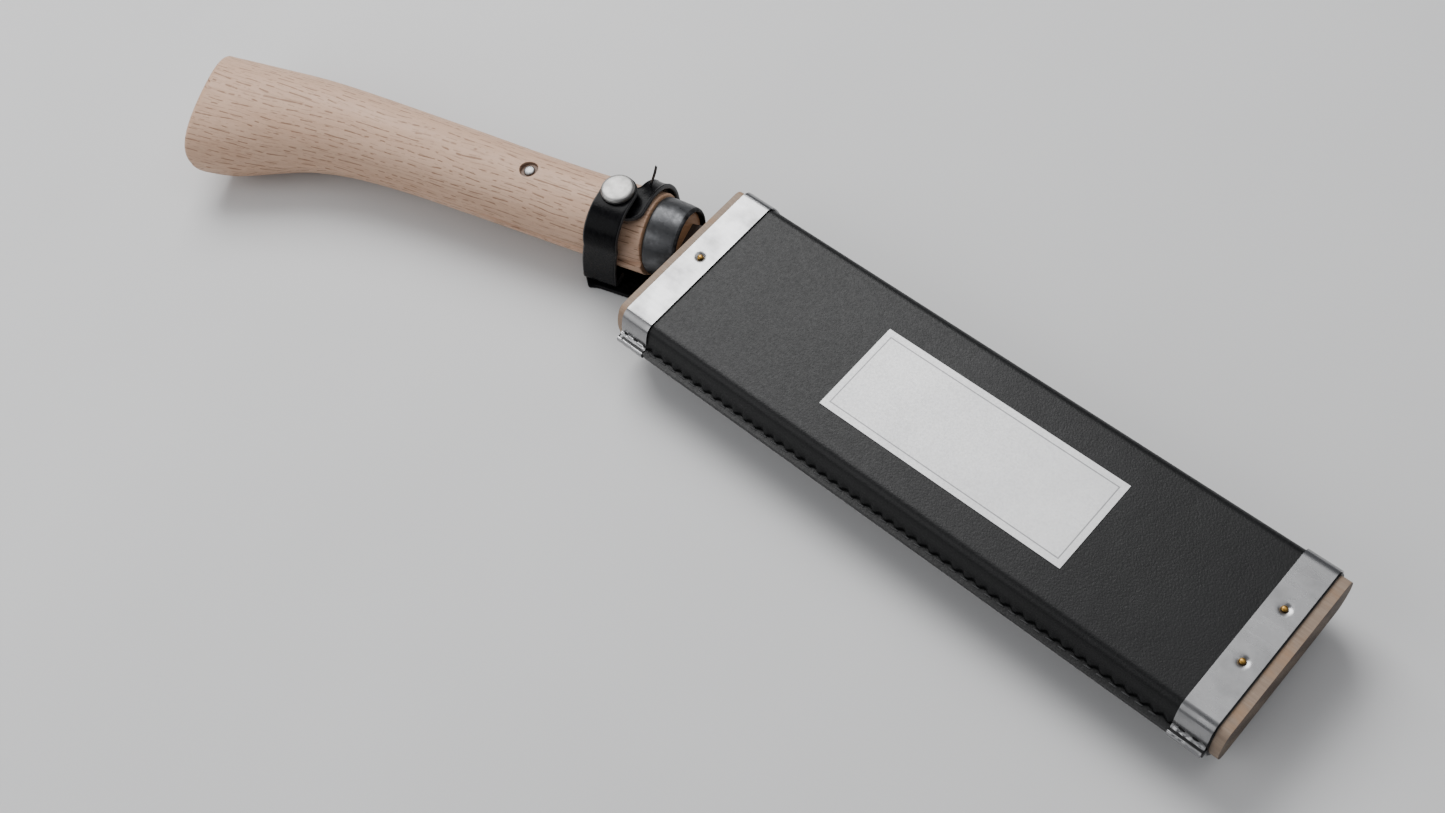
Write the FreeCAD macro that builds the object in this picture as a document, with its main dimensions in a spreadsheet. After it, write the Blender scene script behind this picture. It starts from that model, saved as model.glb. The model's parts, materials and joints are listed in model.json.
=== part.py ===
import FreeCAD, Part
import Sketcher
import math
import os

# A woodsman's hatchet (nata) with a ring-ferruled oak handle, in its covered wooden sheath.
# Frame: +X from the sheath's mouth to its tip, +Y to the blade's spine side, +Z up.
# The origin is on the resting plane, below the middle of the sheath's mouth, 0.9 mm inside it.

doc = FreeCAD.newDocument("sheathed_hatchet")
sheet = doc.addObject("Spreadsheet::Sheet", "sizes")

SIZES = {
    # sheath
    "sheath_lift": 6.8,          # underside of the sheath above the resting plane
    "sheath_thick": 17.5,
    "sheath_flat": 26.1,         # half width of the flat faces
    "sheath_half": 29.0,         # half width at the bulge of the sides
    "sheath_long": 205.1,
    "tip_slant": 0.8,            # the tip's underside ends this much sooner than its front
    "wood_start": -0.9,          # the bare wood stands out of the band at the mouth
    "corner_round": 3.3,
    "cover_thick": 0.5,
    "cover_start": 3.0,
    "cover_long": 199.0,
    "flange_reach": 2.4,         # stitched seam, beyond the side's bulge
    "flange_thick": 1.8,
    "flange_root": 4.0,          # how far the flange reaches into the side
    "flange_height": 16.3,       # middle of the seam above the resting plane
    "band_sheet": 0.5,
    "band_wide": 9.8,
    "mouth_band_start": 1.9,
    "tip_band_start": 191.8,
    "band_hem": 0.6,             # folded ends of a band, over the seam
    "label_start": 66.6,
    "label_long": 80.9,
    "label_wide": 30.2,
    "label_side": -15.5,
    "label_thick": 0.2,
    "cutter_long": 8.0,          # tools that cut blind and through holes
    "cutter_through": 40.0,
    "nail_head": 1.1,
    "nail_rise": 0.5,
    "nail_shank": 0.6,
    "nail_long": 5.0,
    "hole_slack": 0.06,
    "mouth_nail_side": 0.7,
    "tip_nail_far": 9.5,
    "tip_nail_near": -8.3,
    "stitch_pitch": 3.9,
    "stitch_long": 2.9,
    "stitch_wide": 0.7,
    "stitch_high": 0.3,
    "stitch_side": -30.5,
    # belt loop on the back
    "loop_leather": 2.0,
    "loop_gap": 4.8,
    "loop_start": 26.0,
    "loop_tab": 12.0,
    "loop_ramp": 6.0,
    "loop_span": 52.0,
    "loop_wide": 30.0,
    "loop_rivet_side": 8.0,
    "rivet_head": 3.5,
    "rivet_rise": 1.2,
    "rivet_shank": 1.5,
    "rivet_long": 4.5,
    "rivet_short": 0.4,          # the shank ends this far short of its hole's end
    # knife
    "blade_start": 5.0,
    "blade_long": 180.0,
    "blade_half": 20.0,
    "blade_thick": 5.0,
    "blade_slant": 6.0,          # the spine is this much shorter than the edge
    "bevel_high": 15.0,
    "edge_thick": 0.3,
    "core_thick": 1.2,
    "core_high": 12.0,
    "pocket_slack": 0.4,
    "pocket_end": 4.0,
    "tang_slack": 0.15,
    "neck_spine": 4.0,           # where the neck meets the spine, behind the blade's start
    "neck_edge": -3.0,
    "tang_half": 5.5,
    "tang_tip_half": 3.0,
    "tang_tip_x": -118.0,
    "tang_tip_y": -25.0,
    "ferrule_x": -14.4,
    "ferrule_y": 3.3,
    "ferrule_turn": 17.5,
    "ferrule_long": 10.4,
    "ferrule_back": 12.0,
    "ferrule_front": 11.1,
    "ferrule_wall": 1.3,
    "ferrule_lip": 0.7,          # the tenon ends this far inside the front
    "ferrule_shoulder": 1.2,
    "ferrule_swell": 0.15,
    "ferrule_rim": 0.9,
    "tenon_back": 10.6,
    "tenon_front": 9.7,
    "butt_round": 1.2,
    "butt_dome": 24.0,           # radius of the butt's end, from front to back
    "butt_reach": 17.0,
    "pin_x": -56.3,
    "pin_y": -7.9,
    "pin_shank": 1.5,
    "pin_head": 1.7,
    "pin_rise": 0.8,
    "pin_sink_round": 2.9,
    "pin_length": 22.0,
    # strap that holds the handle
    "strap_x": -24.2,
    "strap_y": 0.1,
    "strap_turn": 16.0,
    "strap_thick": 1.5,
    "strap_half": 5.75,
    "strap_side": 13.4,          # inner face of the near arm, from the handle's axis
    "strap_foot": 2.0,
    "strap_lean": 5.5,           # how far the near arm's foot is set back
    "base_low": 0.3,
    "base_edge": 0.6,
    "base_left": 7.6,            # beyond the near arm
    "base_corner": 4.0,
    "base_right": 5.0,           # beyond the far arm
    "ramp_start": -24.0,
    "ramp_foot": -1.0,
    "ramp_top": 6.0,
    "ramp_end": 22.0,
    "ramp_wide": 26.0,
    "flap_under": 31.35,
    "flap_turn_round": 9.0,
    "flap_end": 5.8,
    "far_under": 28.3,
    "far_side": 14.4,            # inner face of the far arm
    "far_turn_round": 12.3,
    "far_arm_start": 3.4,
    "far_arm_end": 9.2,
    "far_plate_start": -4.7,
    "far_plate_side": -6.5,
    "far_plate_round": 3.0,
    "strap_rivet_x": 15.0,
    "strap_rivet_side": 7.0,
    "cap_round": 5.1,
    "cap_rim": 0.7,
    "cap_rim_in": 0.4,
    "cap_dome": 1.4,
    "cap_post": 1.4,
    "socket_round": 4.5,
    "socket_bore": 3.1,
    "socket_gap": 0.15,
    "socket_roof": 0.3,
    "stud_round": 2.7,
    "stud_waist": 2.2,
    "stud_neck": 0.5,
    "stud_flare": 0.8,
    "stud_high": 1.1,
    "stud_post": 1.5,
    "stud_sink": 1.1,
    "tail_round": 0.5,
    "tail_long": 7.4,
    "tail_u": 6.4,
    "tail_v": 8.4,
    "tail_clear": 0.15,
}

# Handle stations: centre X, centre Y, direction in degrees, half width, half thickness.
HANDLE = [
    (-14.7, 3.2, 17.0, 12.8, 12.5),
    (-38.0, -3.6, 15.5, 12.6, 12.2),
    (-60.0, -9.4, 14.5, 12.6, 12.3),
    (-80.0, -14.5, 14.7, 12.9, 12.4),
    (-100.0, -19.8, 15.6, 13.2, 12.6),
    (-120.0, -25.8, 19.0, 14.2, 13.0),
    (-136.0, -32.0, 24.0, 16.0, 13.7),
    (-150.8, -39.6, 27.0, 18.4, 14.4),
    (-161.6, -45.3, 28.0, 20.2, 14.8),
    (-171.0, -50.0, 27.5, 21.1, 15.1),
]
HANDLE_COLUMNS = ("x", "y", "turn", "half", "deep")


def fill_sheet():
    values = dict(SIZES)
    for number, station in enumerate(HANDLE):
        for column, value in zip(HANDLE_COLUMNS, station):
            values["grip_%s_%s" % (column, "abcdefghij"[number])] = value
    for row, (name, value) in enumerate(values.items(), start=1):
        sheet.set("A%d" % row, name)
        sheet.set("B%d" % row, str(value))
        sheet.setAlias("B%d" % row, name)
    doc.recompute()


MIDDLE = "(sizes.sheath_lift + sizes.sheath_thick / 2)"
TOP = "(sizes.sheath_lift + sizes.sheath_thick)"


def size(expression):
    """The value of an expression over the sheet, as a plain number."""
    value = sheet.evalExpression(expression.replace("sizes.", ""))
    return float(getattr(value, "Value", value))


# ---------------------------------------------------------------- sketches and bodies

def new_body(name, x="0", y="0", z="0", turn=None):
    body = doc.addObject("PartDesign::Body", name)
    body.AllowCompound = True
    if turn:
        body.Placement.Rotation = FreeCAD.Rotation(FreeCAD.Vector(0, 0, 1), size(turn))
    for axis, expression in zip("xyz", (x, y, z)):
        body.setExpression("Placement.Base." + axis, expression)
    return body


def new_sketch(body, plane, name, offset="0"):
    sketch = body.newObject("Sketcher::SketchObject", name)
    origin_plane = [item for item in body.Origin.OriginFeatures if item.Role == plane][0]
    sketch.AttachmentSupport = [(origin_plane, "")]
    sketch.MapMode = "FlatFace"
    sketch.setExpression("AttachmentOffset.Base.z", offset)
    return sketch


def bind(sketch, constraint, expression):
    """Adds a constraint and binds its value to the sheet."""
    number = sketch.addConstraint(constraint)
    sketch.setExpression("Constraints[%d]" % number, expression)


def draw_outline(sketch, points, arcs=None):
    """A closed outline through points given as expressions. arcs maps a side's number to what
    turns it into an arc: a point that it bulges through, and its centre's X or Y."""
    arcs = arcs or {}
    places = [FreeCAD.Vector(size(x), size(y), 0) for x, y in points]
    starts = [1] * len(places)
    for side, start in enumerate(places):
        end = places[(side + 1) % len(places)]
        if side not in arcs:
            sketch.addGeometry(Part.LineSegment(start, end), False)
            continue
        bulge = FreeCAD.Vector(size(arcs[side][0]), size(arcs[side][1]), 0)
        if (bulge - start).cross(end - bulge).z < 0:
            # a sketch's arcs all run anticlockwise
            start, end = end, start
            starts[side] = 2
        sketch.addGeometry(Part.Arc(start, bulge, end), False)
    for side in range(len(points)):
        before = (side - 1) % len(points)
        sketch.addConstraint(Sketcher.Constraint("Coincident", before, 3 - starts[before],
                                                 side, starts[side]))
    for side, (x, y) in enumerate(points):
        bind(sketch, Sketcher.Constraint("DistanceX", side, starts[side], places[side].x), x)
        bind(sketch, Sketcher.Constraint("DistanceY", side, starts[side], places[side].y), y)
    for side, (_, _, axis, centre) in arcs.items():
        bind(sketch, Sketcher.Constraint("Distance" + axis, side, 3, size(centre)), centre)


def rectangle(low_x, high_x, low_y, high_y):
    return [(low_x, low_y), (high_x, low_y), (high_x, high_y), (low_x, high_y)]


def pad(body, name, sketch, length, centred=False):
    feature = body.newObject("PartDesign::Pad", name)
    feature.Profile = sketch
    feature.SideType = "Symmetric" if centred else "One side"
    feature.setExpression("Length", length)
    sketch.Visibility = False
    doc.recompute()
    return feature


def pocket(body, name, sketch, length):
    """Cuts both ways from the sketch, and checks that something was cut."""
    before = body.Shape.Volume
    feature = body.newObject("PartDesign::Pocket", name)
    feature.Profile = sketch
    feature.SideType = "Symmetric"
    feature.setExpression("Length", length)
    doc.recompute()
    if body.Shape.Volume > before - 1e-3:
        raise RuntimeError(name + " cuts nothing")
    return feature


def round_edges(body, name, wanted, radius):
    """Fillets the edges of the body's last feature that the wanted function picks."""
    base = body.Tip
    names = ["Edge%d" % (number + 1) for number, edge in enumerate(base.Shape.Edges) if wanted(edge)]
    feature = body.newObject("PartDesign::Fillet", name)
    feature.Base = (base, names)
    feature.setExpression("Radius", radius)
    doc.recompute()
    return feature


def runs_along(edge, direction):
    """True for a straight edge parallel to the direction."""
    if not isinstance(edge.Curve, Part.Line):
        return False
    return abs(abs(edge.Curve.Direction.dot(direction)) - 1) < 1e-6


def dome(reach, foot, sign, rise):
    """The arc of a dome that rises (+) or hangs (-) from a foot circle to the axis."""
    radius = "((%s ^ 2 + %s ^ 2) / (2 * %s))" % (reach, rise, rise)
    halfway = "(%s - %s + sqrt(%s ^ 2 - (%s / 2) ^ 2))" % (rise, radius, radius, reach)
    centre = "%s %s (%s - %s)" % (foot, sign, rise, radius)
    return ("%s / 2" % reach, "%s %s %s" % (foot, sign, halfway), "Y", centre)


def revolve_outline(body, name, points, arcs=None):
    """Revolves an outline, drawn in the XZ plane, about the body's Z axis."""
    sketch = new_sketch(body, "XZ_Plane", name + "_sketch")
    draw_outline(sketch, points, arcs)
    feature = body.newObject("PartDesign::Revolution", name)
    feature.Profile = sketch
    feature.ReferenceAxis = (sketch, ["V_Axis"])
    feature.Angle = 360
    doc.recompute()
    return feature


# ---------------------------------------------------------------- Part primitives

def box(name, x, y, z, length, width, height):
    solid = doc.addObject("Part::Box", name)
    for axis, expression in zip("xyz", (x, y, z)):
        solid.setExpression("Placement.Base." + axis, expression)
    for side, expression in (("Length", length), ("Width", width), ("Height", height)):
        solid.setExpression(side, expression)
    return solid


def cylinder(name, x, y, z, radius, height):
    solid = doc.addObject("Part::Cylinder", name)
    for axis, expression in zip("xyz", (x, y, z)):
        solid.setExpression("Placement.Base." + axis, expression)
    solid.setExpression("Radius", radius)
    solid.setExpression("Height", height)
    return solid


def fuse(name, parts):
    result = doc.addObject("Part::MultiFuse", name)
    result.Shapes = parts
    doc.recompute()
    return result


def cut(name, base, tool):
    result = doc.addObject("Part::Cut", name)
    result.Base = base
    result.Tool = tool
    doc.recompute()
    return result


def common(name, first, second):
    result = doc.addObject("Part::MultiCommon", name)
    result.Shapes = [first, second]
    doc.recompute()
    return result


def group(name, parts):
    """Separate solids of one kind, kept as one compound."""
    result = doc.addObject("Part::Compound", name)
    result.Links = parts
    doc.recompute()
    return result


# ---------------------------------------------------------------- sheath

def sheath_bar(name, start, length, inset):
    """A straight bar with the sheath's section, its faces moved in by inset."""
    body = new_body(name, start)
    sketch = new_sketch(body, "YZ_Plane", name + "_section")
    flat = "(sizes.sheath_flat - %s)" % inset
    half = "(sizes.sheath_half - %s)" % inset
    low = "sizes.sheath_lift + %s" % inset
    high = TOP + " - %s" % inset
    corners = [("-" + flat, low), (flat, low), (flat, high), ("-" + flat, high)]
    rise = "(sizes.sheath_thick / 2 - %s)" % inset
    swell = "(sizes.sheath_half - sizes.sheath_flat)"
    radius = "((%s ^ 2 + %s ^ 2) / (2 * %s))" % (rise, swell, swell)
    draw_outline(sketch, corners, {1: (half, MIDDLE, "X", "%s - %s" % (half, radius)),
                                   3: ("-" + half, MIDDLE, "X", "%s - %s" % (radius, half))})
    pad(body, name + "_pad", sketch, length)
    along = FreeCAD.Vector(1, 0, 0)
    round_edges(body, name + "_round", lambda edge: runs_along(edge, along),
                "sizes.corner_round - %s" % inset)
    return body


def seam_box(name, start, length, extra):
    """The flange that the cover's two edges make on the cutting edge's side."""
    return box(name, start, "-sizes.sheath_half - sizes.flange_reach - %s" % extra,
               "sizes.flange_height - sizes.flange_thick / 2 - %s" % extra,
               length, "sizes.flange_reach + sizes.flange_root + %s" % extra,
               "sizes.flange_thick + 2 * %s" % extra)


MOUTH_NAIL_X = "sizes.mouth_band_start + sizes.band_wide / 2"
TIP_NAIL_X = "sizes.tip_band_start + sizes.band_wide / 2"
# Name, X, Y and the faces that it is driven into. The strap covers the back of the mouth band.
NAILS = [("mouth", MOUTH_NAIL_X, "sizes.mouth_nail_side", ("front",)),
         ("tip_far", TIP_NAIL_X, "sizes.tip_nail_far", ("front", "back")),
         ("tip_near", TIP_NAIL_X, "sizes.tip_nail_near", ("front", "back"))]
BAND_TOP = TOP + " + sizes.band_sheet"
BAND_LOW = "sizes.sheath_lift - sizes.band_sheet"


def nail(label, x, y, side):
    """A small flat-headed nail, driven down through the front or up through the back."""
    name = "nail_%s_%s" % (label, side)
    front = side == "front"
    shank_low = BAND_TOP + " - sizes.nail_long" if front else BAND_LOW
    shank = cylinder(name + "_shank", x, y, shank_low, "sizes.nail_shank", "sizes.nail_long")
    head_low = BAND_TOP if front else BAND_LOW + " - sizes.nail_rise"
    head = cylinder(name + "_head", x, y, head_low, "sizes.nail_head", "sizes.nail_rise")
    return fuse(name, [shank, head])


def nail_holes(name):
    holes = []
    lows = {"front": BAND_TOP + " - sizes.nail_long - 0.2", "back": BAND_LOW + " - 0.2"}
    for label, x, y, sides in NAILS:
        for side in sides:
            holes.append(cylinder("%s_%s_%s" % (name, label, side), x, y, lows[side],
                                  "sizes.nail_shank + sizes.hole_slack", "sizes.nail_long + 0.4"))
    for label, x, y in rivet_places():
        holes.append(cylinder("%s_%s" % (name, label), x, y, "sizes.sheath_lift - 0.2",
                              "sizes.rivet_shank + sizes.hole_slack", "sizes.rivet_long"))
    return fuse(name, holes)


def rivet_places():
    """Rivets of the belt loop (four) and of the strap's base (two)."""
    first = "sizes.loop_start + sizes.loop_tab / 2"
    second = first + " + sizes.loop_tab + 2 * sizes.loop_ramp + sizes.loop_span"
    return [("loop_a", first, "sizes.loop_rivet_side"), ("loop_b", first, "-sizes.loop_rivet_side"),
            ("loop_c", second, "sizes.loop_rivet_side"),
            ("loop_d", second, "-sizes.loop_rivet_side"),
            ("base_a", "sizes.strap_rivet_x", "sizes.strap_rivet_side"),
            ("base_b", "sizes.strap_rivet_x", "-sizes.strap_rivet_side")]


def blade_pocket():
    """The room for the blade between the two wooden halves."""
    body = new_body("blade_pocket")
    sketch = new_sketch(body, "XY_Plane", "blade_pocket_outline", MIDDLE)
    side = "(sizes.blade_half + sizes.pocket_slack)"
    end = "sizes.blade_start + sizes.blade_long + sizes.pocket_end"
    draw_outline(sketch, [("-1", "-" + side), (end, "-" + side),
                          (end + " - sizes.blade_slant", side), ("-1", side)])
    pad(body, "blade_pocket_pad", sketch, "sizes.blade_thick + 2 * sizes.pocket_slack", True)
    return body


def tip_wedge():
    """What the slanting saw cut takes off the tip."""
    body = new_body("tip_wedge")
    sketch = new_sketch(body, "XZ_Plane", "tip_wedge_outline")
    low, high = MIDDLE + " - sizes.sheath_thick / 2", MIDDLE + " + sizes.sheath_thick / 2"
    beyond = "sizes.sheath_long + sizes.cutter_long"
    draw_outline(sketch, [("sizes.sheath_long - sizes.tip_slant", low), (beyond, low),
                          (beyond, high), ("sizes.sheath_long", high)])
    pad(body, "tip_wedge_pad", sketch, "4 * sizes.sheath_half", True)
    return body


def make_sheath(holes):
    bar = sheath_bar("sheath_bar", "sizes.wood_start", "sizes.sheath_long - sizes.wood_start",
                     "sizes.cover_thick")
    core = cut("sheath_core", bar, tip_wedge())
    room = blade_pocket()
    for name, low in (("sheath_wood_front", MIDDLE), ("sheath_wood_back", MIDDLE + " - 20")):
        half = box(name + "_half", "-1", "-40", low, "sizes.sheath_long + 2", "80", "20")
        carved = cut(name + "_carved", common(name + "_blank", core, half), room)
        cut(name, carved, holes)

    outer = sheath_bar("cover_outside", "sizes.cover_start", "sizes.cover_long", "0")
    flange = seam_box("cover_flange", "sizes.cover_start", "sizes.cover_long", "0")
    skin = cut("cover_skin", fuse("cover_full", [outer, flange]), core)
    cut("sheath_cover", skin, holes)

    for name, start in (("mouth_band", "sizes.mouth_band_start"), ("tip_band", "sizes.tip_band_start")):
        hoop = sheath_bar(name + "_outside", start, "sizes.band_wide", "-sizes.band_sheet")
        hem = seam_box(name + "_hem", start, "sizes.band_wide", "sizes.band_hem")
        sleeve = fuse(name + "_full", [hoop, hem])
        inside = fuse(name + "_inside", [sheath_bar(name + "_bore", start, "sizes.band_wide", "0"),
                                         seam_box(name + "_slot", start, "sizes.band_wide", "0")])
        cut(name, cut(name + "_sleeve", sleeve, inside), holes)


def make_nails():
    nails = [[nail(label, x, y, side) for side in sides] for label, x, y, sides in NAILS]
    group("mouth_band_nail", nails[0])
    group("tip_band_nails", nails[1] + nails[2])


def make_label():
    box("label_plate", "sizes.label_start", "sizes.label_side", TOP,
        "sizes.label_long", "sizes.label_wide", "sizes.label_thick")


def make_seam_thread():
    """Short stitches on both faces of the flange, between the bands."""
    stitches = []
    first = size("mouth_band_start + band_wide") + 1.5
    count = int((size("tip_band_start") - first) // size("stitch_pitch"))
    levels = (size("flange_height + flange_thick / 2"),
              size("flange_height - flange_thick / 2 - stitch_high"))
    for number in range(count):
        for level in levels:
            corner = FreeCAD.Vector(first + number * size("stitch_pitch"), size("stitch_side"), level)
            stitches.append(Part.makeBox(size("stitch_long"), size("stitch_wide"),
                                         size("stitch_high"), corner))
    thread = doc.addObject("Part::Feature", "seam_thread")
    thread.Shape = Part.makeCompound(stitches)


# ---------------------------------------------------------------- belt loop and strap base

def make_belt_loop():
    """A leather strip, riveted at both ends, that bows away from the back of the sheath."""
    body = new_body("belt_loop_strip")
    sketch = new_sketch(body, "XZ_Plane", "belt_loop_side")
    steps = ["sizes.loop_start", "sizes.loop_tab", "sizes.loop_ramp", "sizes.loop_span",
             "sizes.loop_ramp", "sizes.loop_tab"]
    along = [" + ".join(steps[:count]) for count in range(1, 7)]
    upper = "sizes.sheath_lift"
    lower = "sizes.sheath_lift - sizes.loop_gap"
    leather = " - sizes.loop_leather"
    heights = [upper, upper, lower, lower, upper, upper]
    top_side = list(zip(along, heights))
    under_side = [(x, height + leather) for x, height in reversed(top_side)]
    draw_outline(sketch, top_side + under_side)
    pad(body, "belt_loop_pad", sketch, "sizes.loop_wide", True)
    cut("belt_loop", body, rivet_holes("loop_holes", rivet_places()[:4]))


def rivet_holes(name, places):
    return fuse(name, [cylinder("%s_%s" % (name, label), x, y, "sizes.sheath_lift - 4",
                                "sizes.rivet_shank + sizes.hole_slack", "sizes.cutter_long")
                       for label, x, y in places])


def rivet(label, x, y, leather):
    """A flat round head under the leather, with its shank up into the wood."""
    seat = "sizes.sheath_lift - %s" % leather
    head = cylinder("rivet_head_" + label, x, y, seat + " - sizes.rivet_rise",
                    "sizes.rivet_head", "sizes.rivet_rise")
    shank = cylinder("rivet_shank_" + label, x, y, seat, "sizes.rivet_shank",
                     "sizes.rivet_long + %s - sizes.rivet_short" % leather)
    return fuse("rivet_" + label, [head, shank])


def make_rivets():
    places = rivet_places()
    group("belt_loop_rivets", [rivet(label, x, y, "sizes.loop_leather") for label, x, y in places[:4]])
    seat = "(sizes.strap_thick + sizes.band_sheet)"
    group("strap_rivets", [rivet(label, x, y, seat) for label, x, y in places[4:]])


def make_strap_base():
    """Leather that runs from the back of the sheath to below the handle."""
    ramp = new_body("strap_base_ramp")
    sketch = new_sketch(ramp, "XZ_Plane", "strap_base_side")
    low = "sizes.base_low + sizes.strap_thick"
    high = "sizes.sheath_lift - sizes.band_sheet"
    top_side = [("sizes.ramp_start", low), ("sizes.ramp_foot", low),
                ("sizes.ramp_top", high), ("sizes.ramp_end", high)]
    under_side = [(x, height + " - sizes.strap_thick") for x, height in reversed(top_side)]
    draw_outline(sketch, top_side + under_side)
    pad(ramp, "strap_base_pad", sketch, "sizes.ramp_wide", True)
    plate = new_body("strap_base_plate", "sizes.strap_x", "sizes.strap_y", "0", "sizes.strap_turn")
    outline = new_sketch(plate, "XY_Plane", "strap_base_outline", "sizes.base_low")
    beyond = " + sizes.strap_thick + sizes.base_edge"
    left = "-sizes.strap_half - sizes.base_left"
    right = "sizes.far_arm_end + sizes.base_right"
    near, far = "-(sizes.strap_side%s)" % beyond, "sizes.far_side" + beyond
    draw_outline(outline, [(left + " + sizes.base_corner", near), (right, near), (right, far),
                           (left + " + sizes.base_corner", far), (left, far + " - sizes.base_corner"),
                           (left, near + " + sizes.base_corner")])
    pad(plate, "strap_base_plate_pad", outline, "sizes.strap_thick")
    whole = fuse("strap_base_whole", [ramp, plate])
    cut("strap_base", whole, rivet_holes("base_holes", rivet_places()[4:]))


# ---------------------------------------------------------------- strap arms and snap

def quarter_turn(centre_y, sign, centre_z, radius):
    """An upper quarter arc about a centre, on its near (-) or far (+) side."""
    return ("%s %s %s / sqrt(2)" % (centre_y, sign, radius),
            "%s + %s / sqrt(2)" % (centre_z, radius), "X", centre_y)


def strap_body(name):
    """A body in the strap's own frame: X along the handle, origin below the snap."""
    return new_body(name, "sizes.strap_x", "sizes.strap_y", "0", "sizes.strap_turn")


def make_near_arm():
    """The arm beside the handle. Its foot stands nearer to the butt than its top."""
    body = strap_body("strap_near_arm")
    sketch = new_sketch(body, "XZ_Plane", "near_arm_outline", "sizes.strap_side")
    top = "sizes.flap_under - sizes.flap_turn_round - 0.1"
    left, right = "-sizes.strap_half", "sizes.strap_half"
    draw_outline(sketch, [(left + " - sizes.strap_lean", "sizes.strap_foot"),
                          (right + " - sizes.strap_lean", "sizes.strap_foot"),
                          (right, top), (left, top)])
    pad(body, "near_arm_pad", sketch, "sizes.strap_thick")


def make_flap():
    """The arm's free end, which bends over the handle and carries the cap."""
    body = strap_body("flap_strip")
    sketch = new_sketch(body, "YZ_Plane", "flap_section")
    turn_y = "(sizes.flap_turn_round - sizes.strap_side)"
    turn_z = "(sizes.flap_under - sizes.flap_turn_round)"
    inner = "sizes.flap_turn_round"
    outer = "(sizes.flap_turn_round + sizes.strap_thick)"
    points = [("-sizes.strap_side", turn_z), (turn_y, "sizes.flap_under"),
              ("sizes.flap_end", "sizes.flap_under"),
              ("sizes.flap_end", "sizes.flap_under + sizes.strap_thick"),
              (turn_y, "sizes.flap_under + sizes.strap_thick"),
              ("-sizes.strap_side - sizes.strap_thick", turn_z)]
    arcs = {0: quarter_turn(turn_y, "-", turn_z, inner), 4: quarter_turn(turn_y, "-", turn_z, outer)}
    draw_outline(sketch, points, arcs)
    pad(body, "flap_pad", sketch, "2 * sizes.strap_half", True)
    up = FreeCAD.Vector(0, 0, 1)
    round_edges(body, "flap_round", lambda edge: runs_along(edge, up), "sizes.strap_half - 0.1")
    hole = cylinder("flap_hole", "sizes.strap_x", "sizes.strap_y", "sizes.flap_under - 1",
                    "sizes.cap_post + sizes.hole_slack", "sizes.cutter_long")
    cut("strap_flap", body, hole)


def make_far_arm():
    body = strap_body("far_arm_strip")
    sketch = new_sketch(body, "YZ_Plane", "far_arm_section", "sizes.far_arm_start")
    turn_y = "(sizes.far_side - sizes.far_turn_round)"
    turn_z = "(sizes.far_under - sizes.far_turn_round)"
    inner = "sizes.far_turn_round"
    outer = "(sizes.far_turn_round + sizes.strap_thick)"
    top = "sizes.far_under + sizes.strap_thick"
    outside = "sizes.far_side + sizes.strap_thick"
    points = [("sizes.far_side", "sizes.strap_foot"), (outside, "sizes.strap_foot"),
              (outside, turn_z), (turn_y, top), ("sizes.far_plate_side", top),
              ("sizes.far_plate_side", "sizes.far_under"), (turn_y, "sizes.far_under"),
              ("sizes.far_side", turn_z)]
    arcs = {2: quarter_turn(turn_y, "+", turn_z, outer), 6: quarter_turn(turn_y, "+", turn_z, inner)}
    draw_outline(sketch, points, arcs)
    pad(body, "far_arm_pad", sketch, "sizes.far_arm_end - sizes.far_arm_start")
    plate = new_sketch(body, "XY_Plane", "far_plate_outline", "sizes.far_under")
    draw_outline(plate, rectangle("sizes.far_plate_start", "sizes.far_arm_start + 1",
                                  "sizes.far_plate_side", turn_y))
    pad(body, "far_plate_pad", plate, "sizes.strap_thick")
    up = FreeCAD.Vector(0, 0, 1)

    def at_free_corner(edge):
        """A corner of the plate, away from where the arm joins it."""
        middle = edge.CenterOfMass
        joins = abs(middle.x - size("far_arm_start")) < 0.5
        return runs_along(edge, up) and middle.z > size("far_under") and not joins

    round_edges(body, "far_plate_round", at_free_corner, "sizes.far_plate_round")
    hole = cylinder("far_hole", "sizes.strap_x", "sizes.strap_y", "sizes.far_under - 1",
                    "sizes.stud_post + sizes.hole_slack", "sizes.cutter_long / 2")
    cut("strap_far_arm", body, hole)


def make_snap():
    seat = "sizes.flap_under + sizes.strap_thick"
    rim = seat + " + sizes.cap_rim"
    cap = strap_body("snap_cap")
    revolve_outline(cap, "snap_cap_turn",
                    [("0", "sizes.flap_under"), ("sizes.cap_post", "sizes.flap_under"),
                     ("sizes.cap_post", seat), ("sizes.cap_round - sizes.cap_rim_in", seat),
                     ("sizes.cap_round", rim), ("0", rim + " + sizes.cap_dome")],
                    {4: dome("sizes.cap_round", rim, "+", "sizes.cap_dome")})

    socket = strap_body("snap_socket")
    low = "sizes.far_under + sizes.strap_thick + sizes.socket_gap"
    roof = "sizes.flap_under - sizes.socket_roof"
    revolve_outline(socket, "snap_socket_turn",
                    [("sizes.socket_bore", low), ("sizes.socket_round", low),
                     ("sizes.socket_round", "sizes.flap_under"), ("0", "sizes.flap_under"),
                     ("0", roof), ("sizes.socket_bore", roof)])

    stud = strap_body("snap_stud")
    base = "sizes.far_under + sizes.strap_thick"
    waist = "sizes.stud_waist"
    revolve_outline(stud, "snap_stud_turn",
                    [("0", base + " - sizes.stud_sink"), ("sizes.stud_post", base + " - sizes.stud_sink"),
                     ("sizes.stud_post", base), (waist, base), (waist, base + " + sizes.stud_neck"),
                     ("sizes.stud_round", base + " + sizes.stud_flare"),
                     ("sizes.stud_waist", base + " + sizes.stud_high"),
                     ("0", base + " + sizes.stud_high")])


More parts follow.
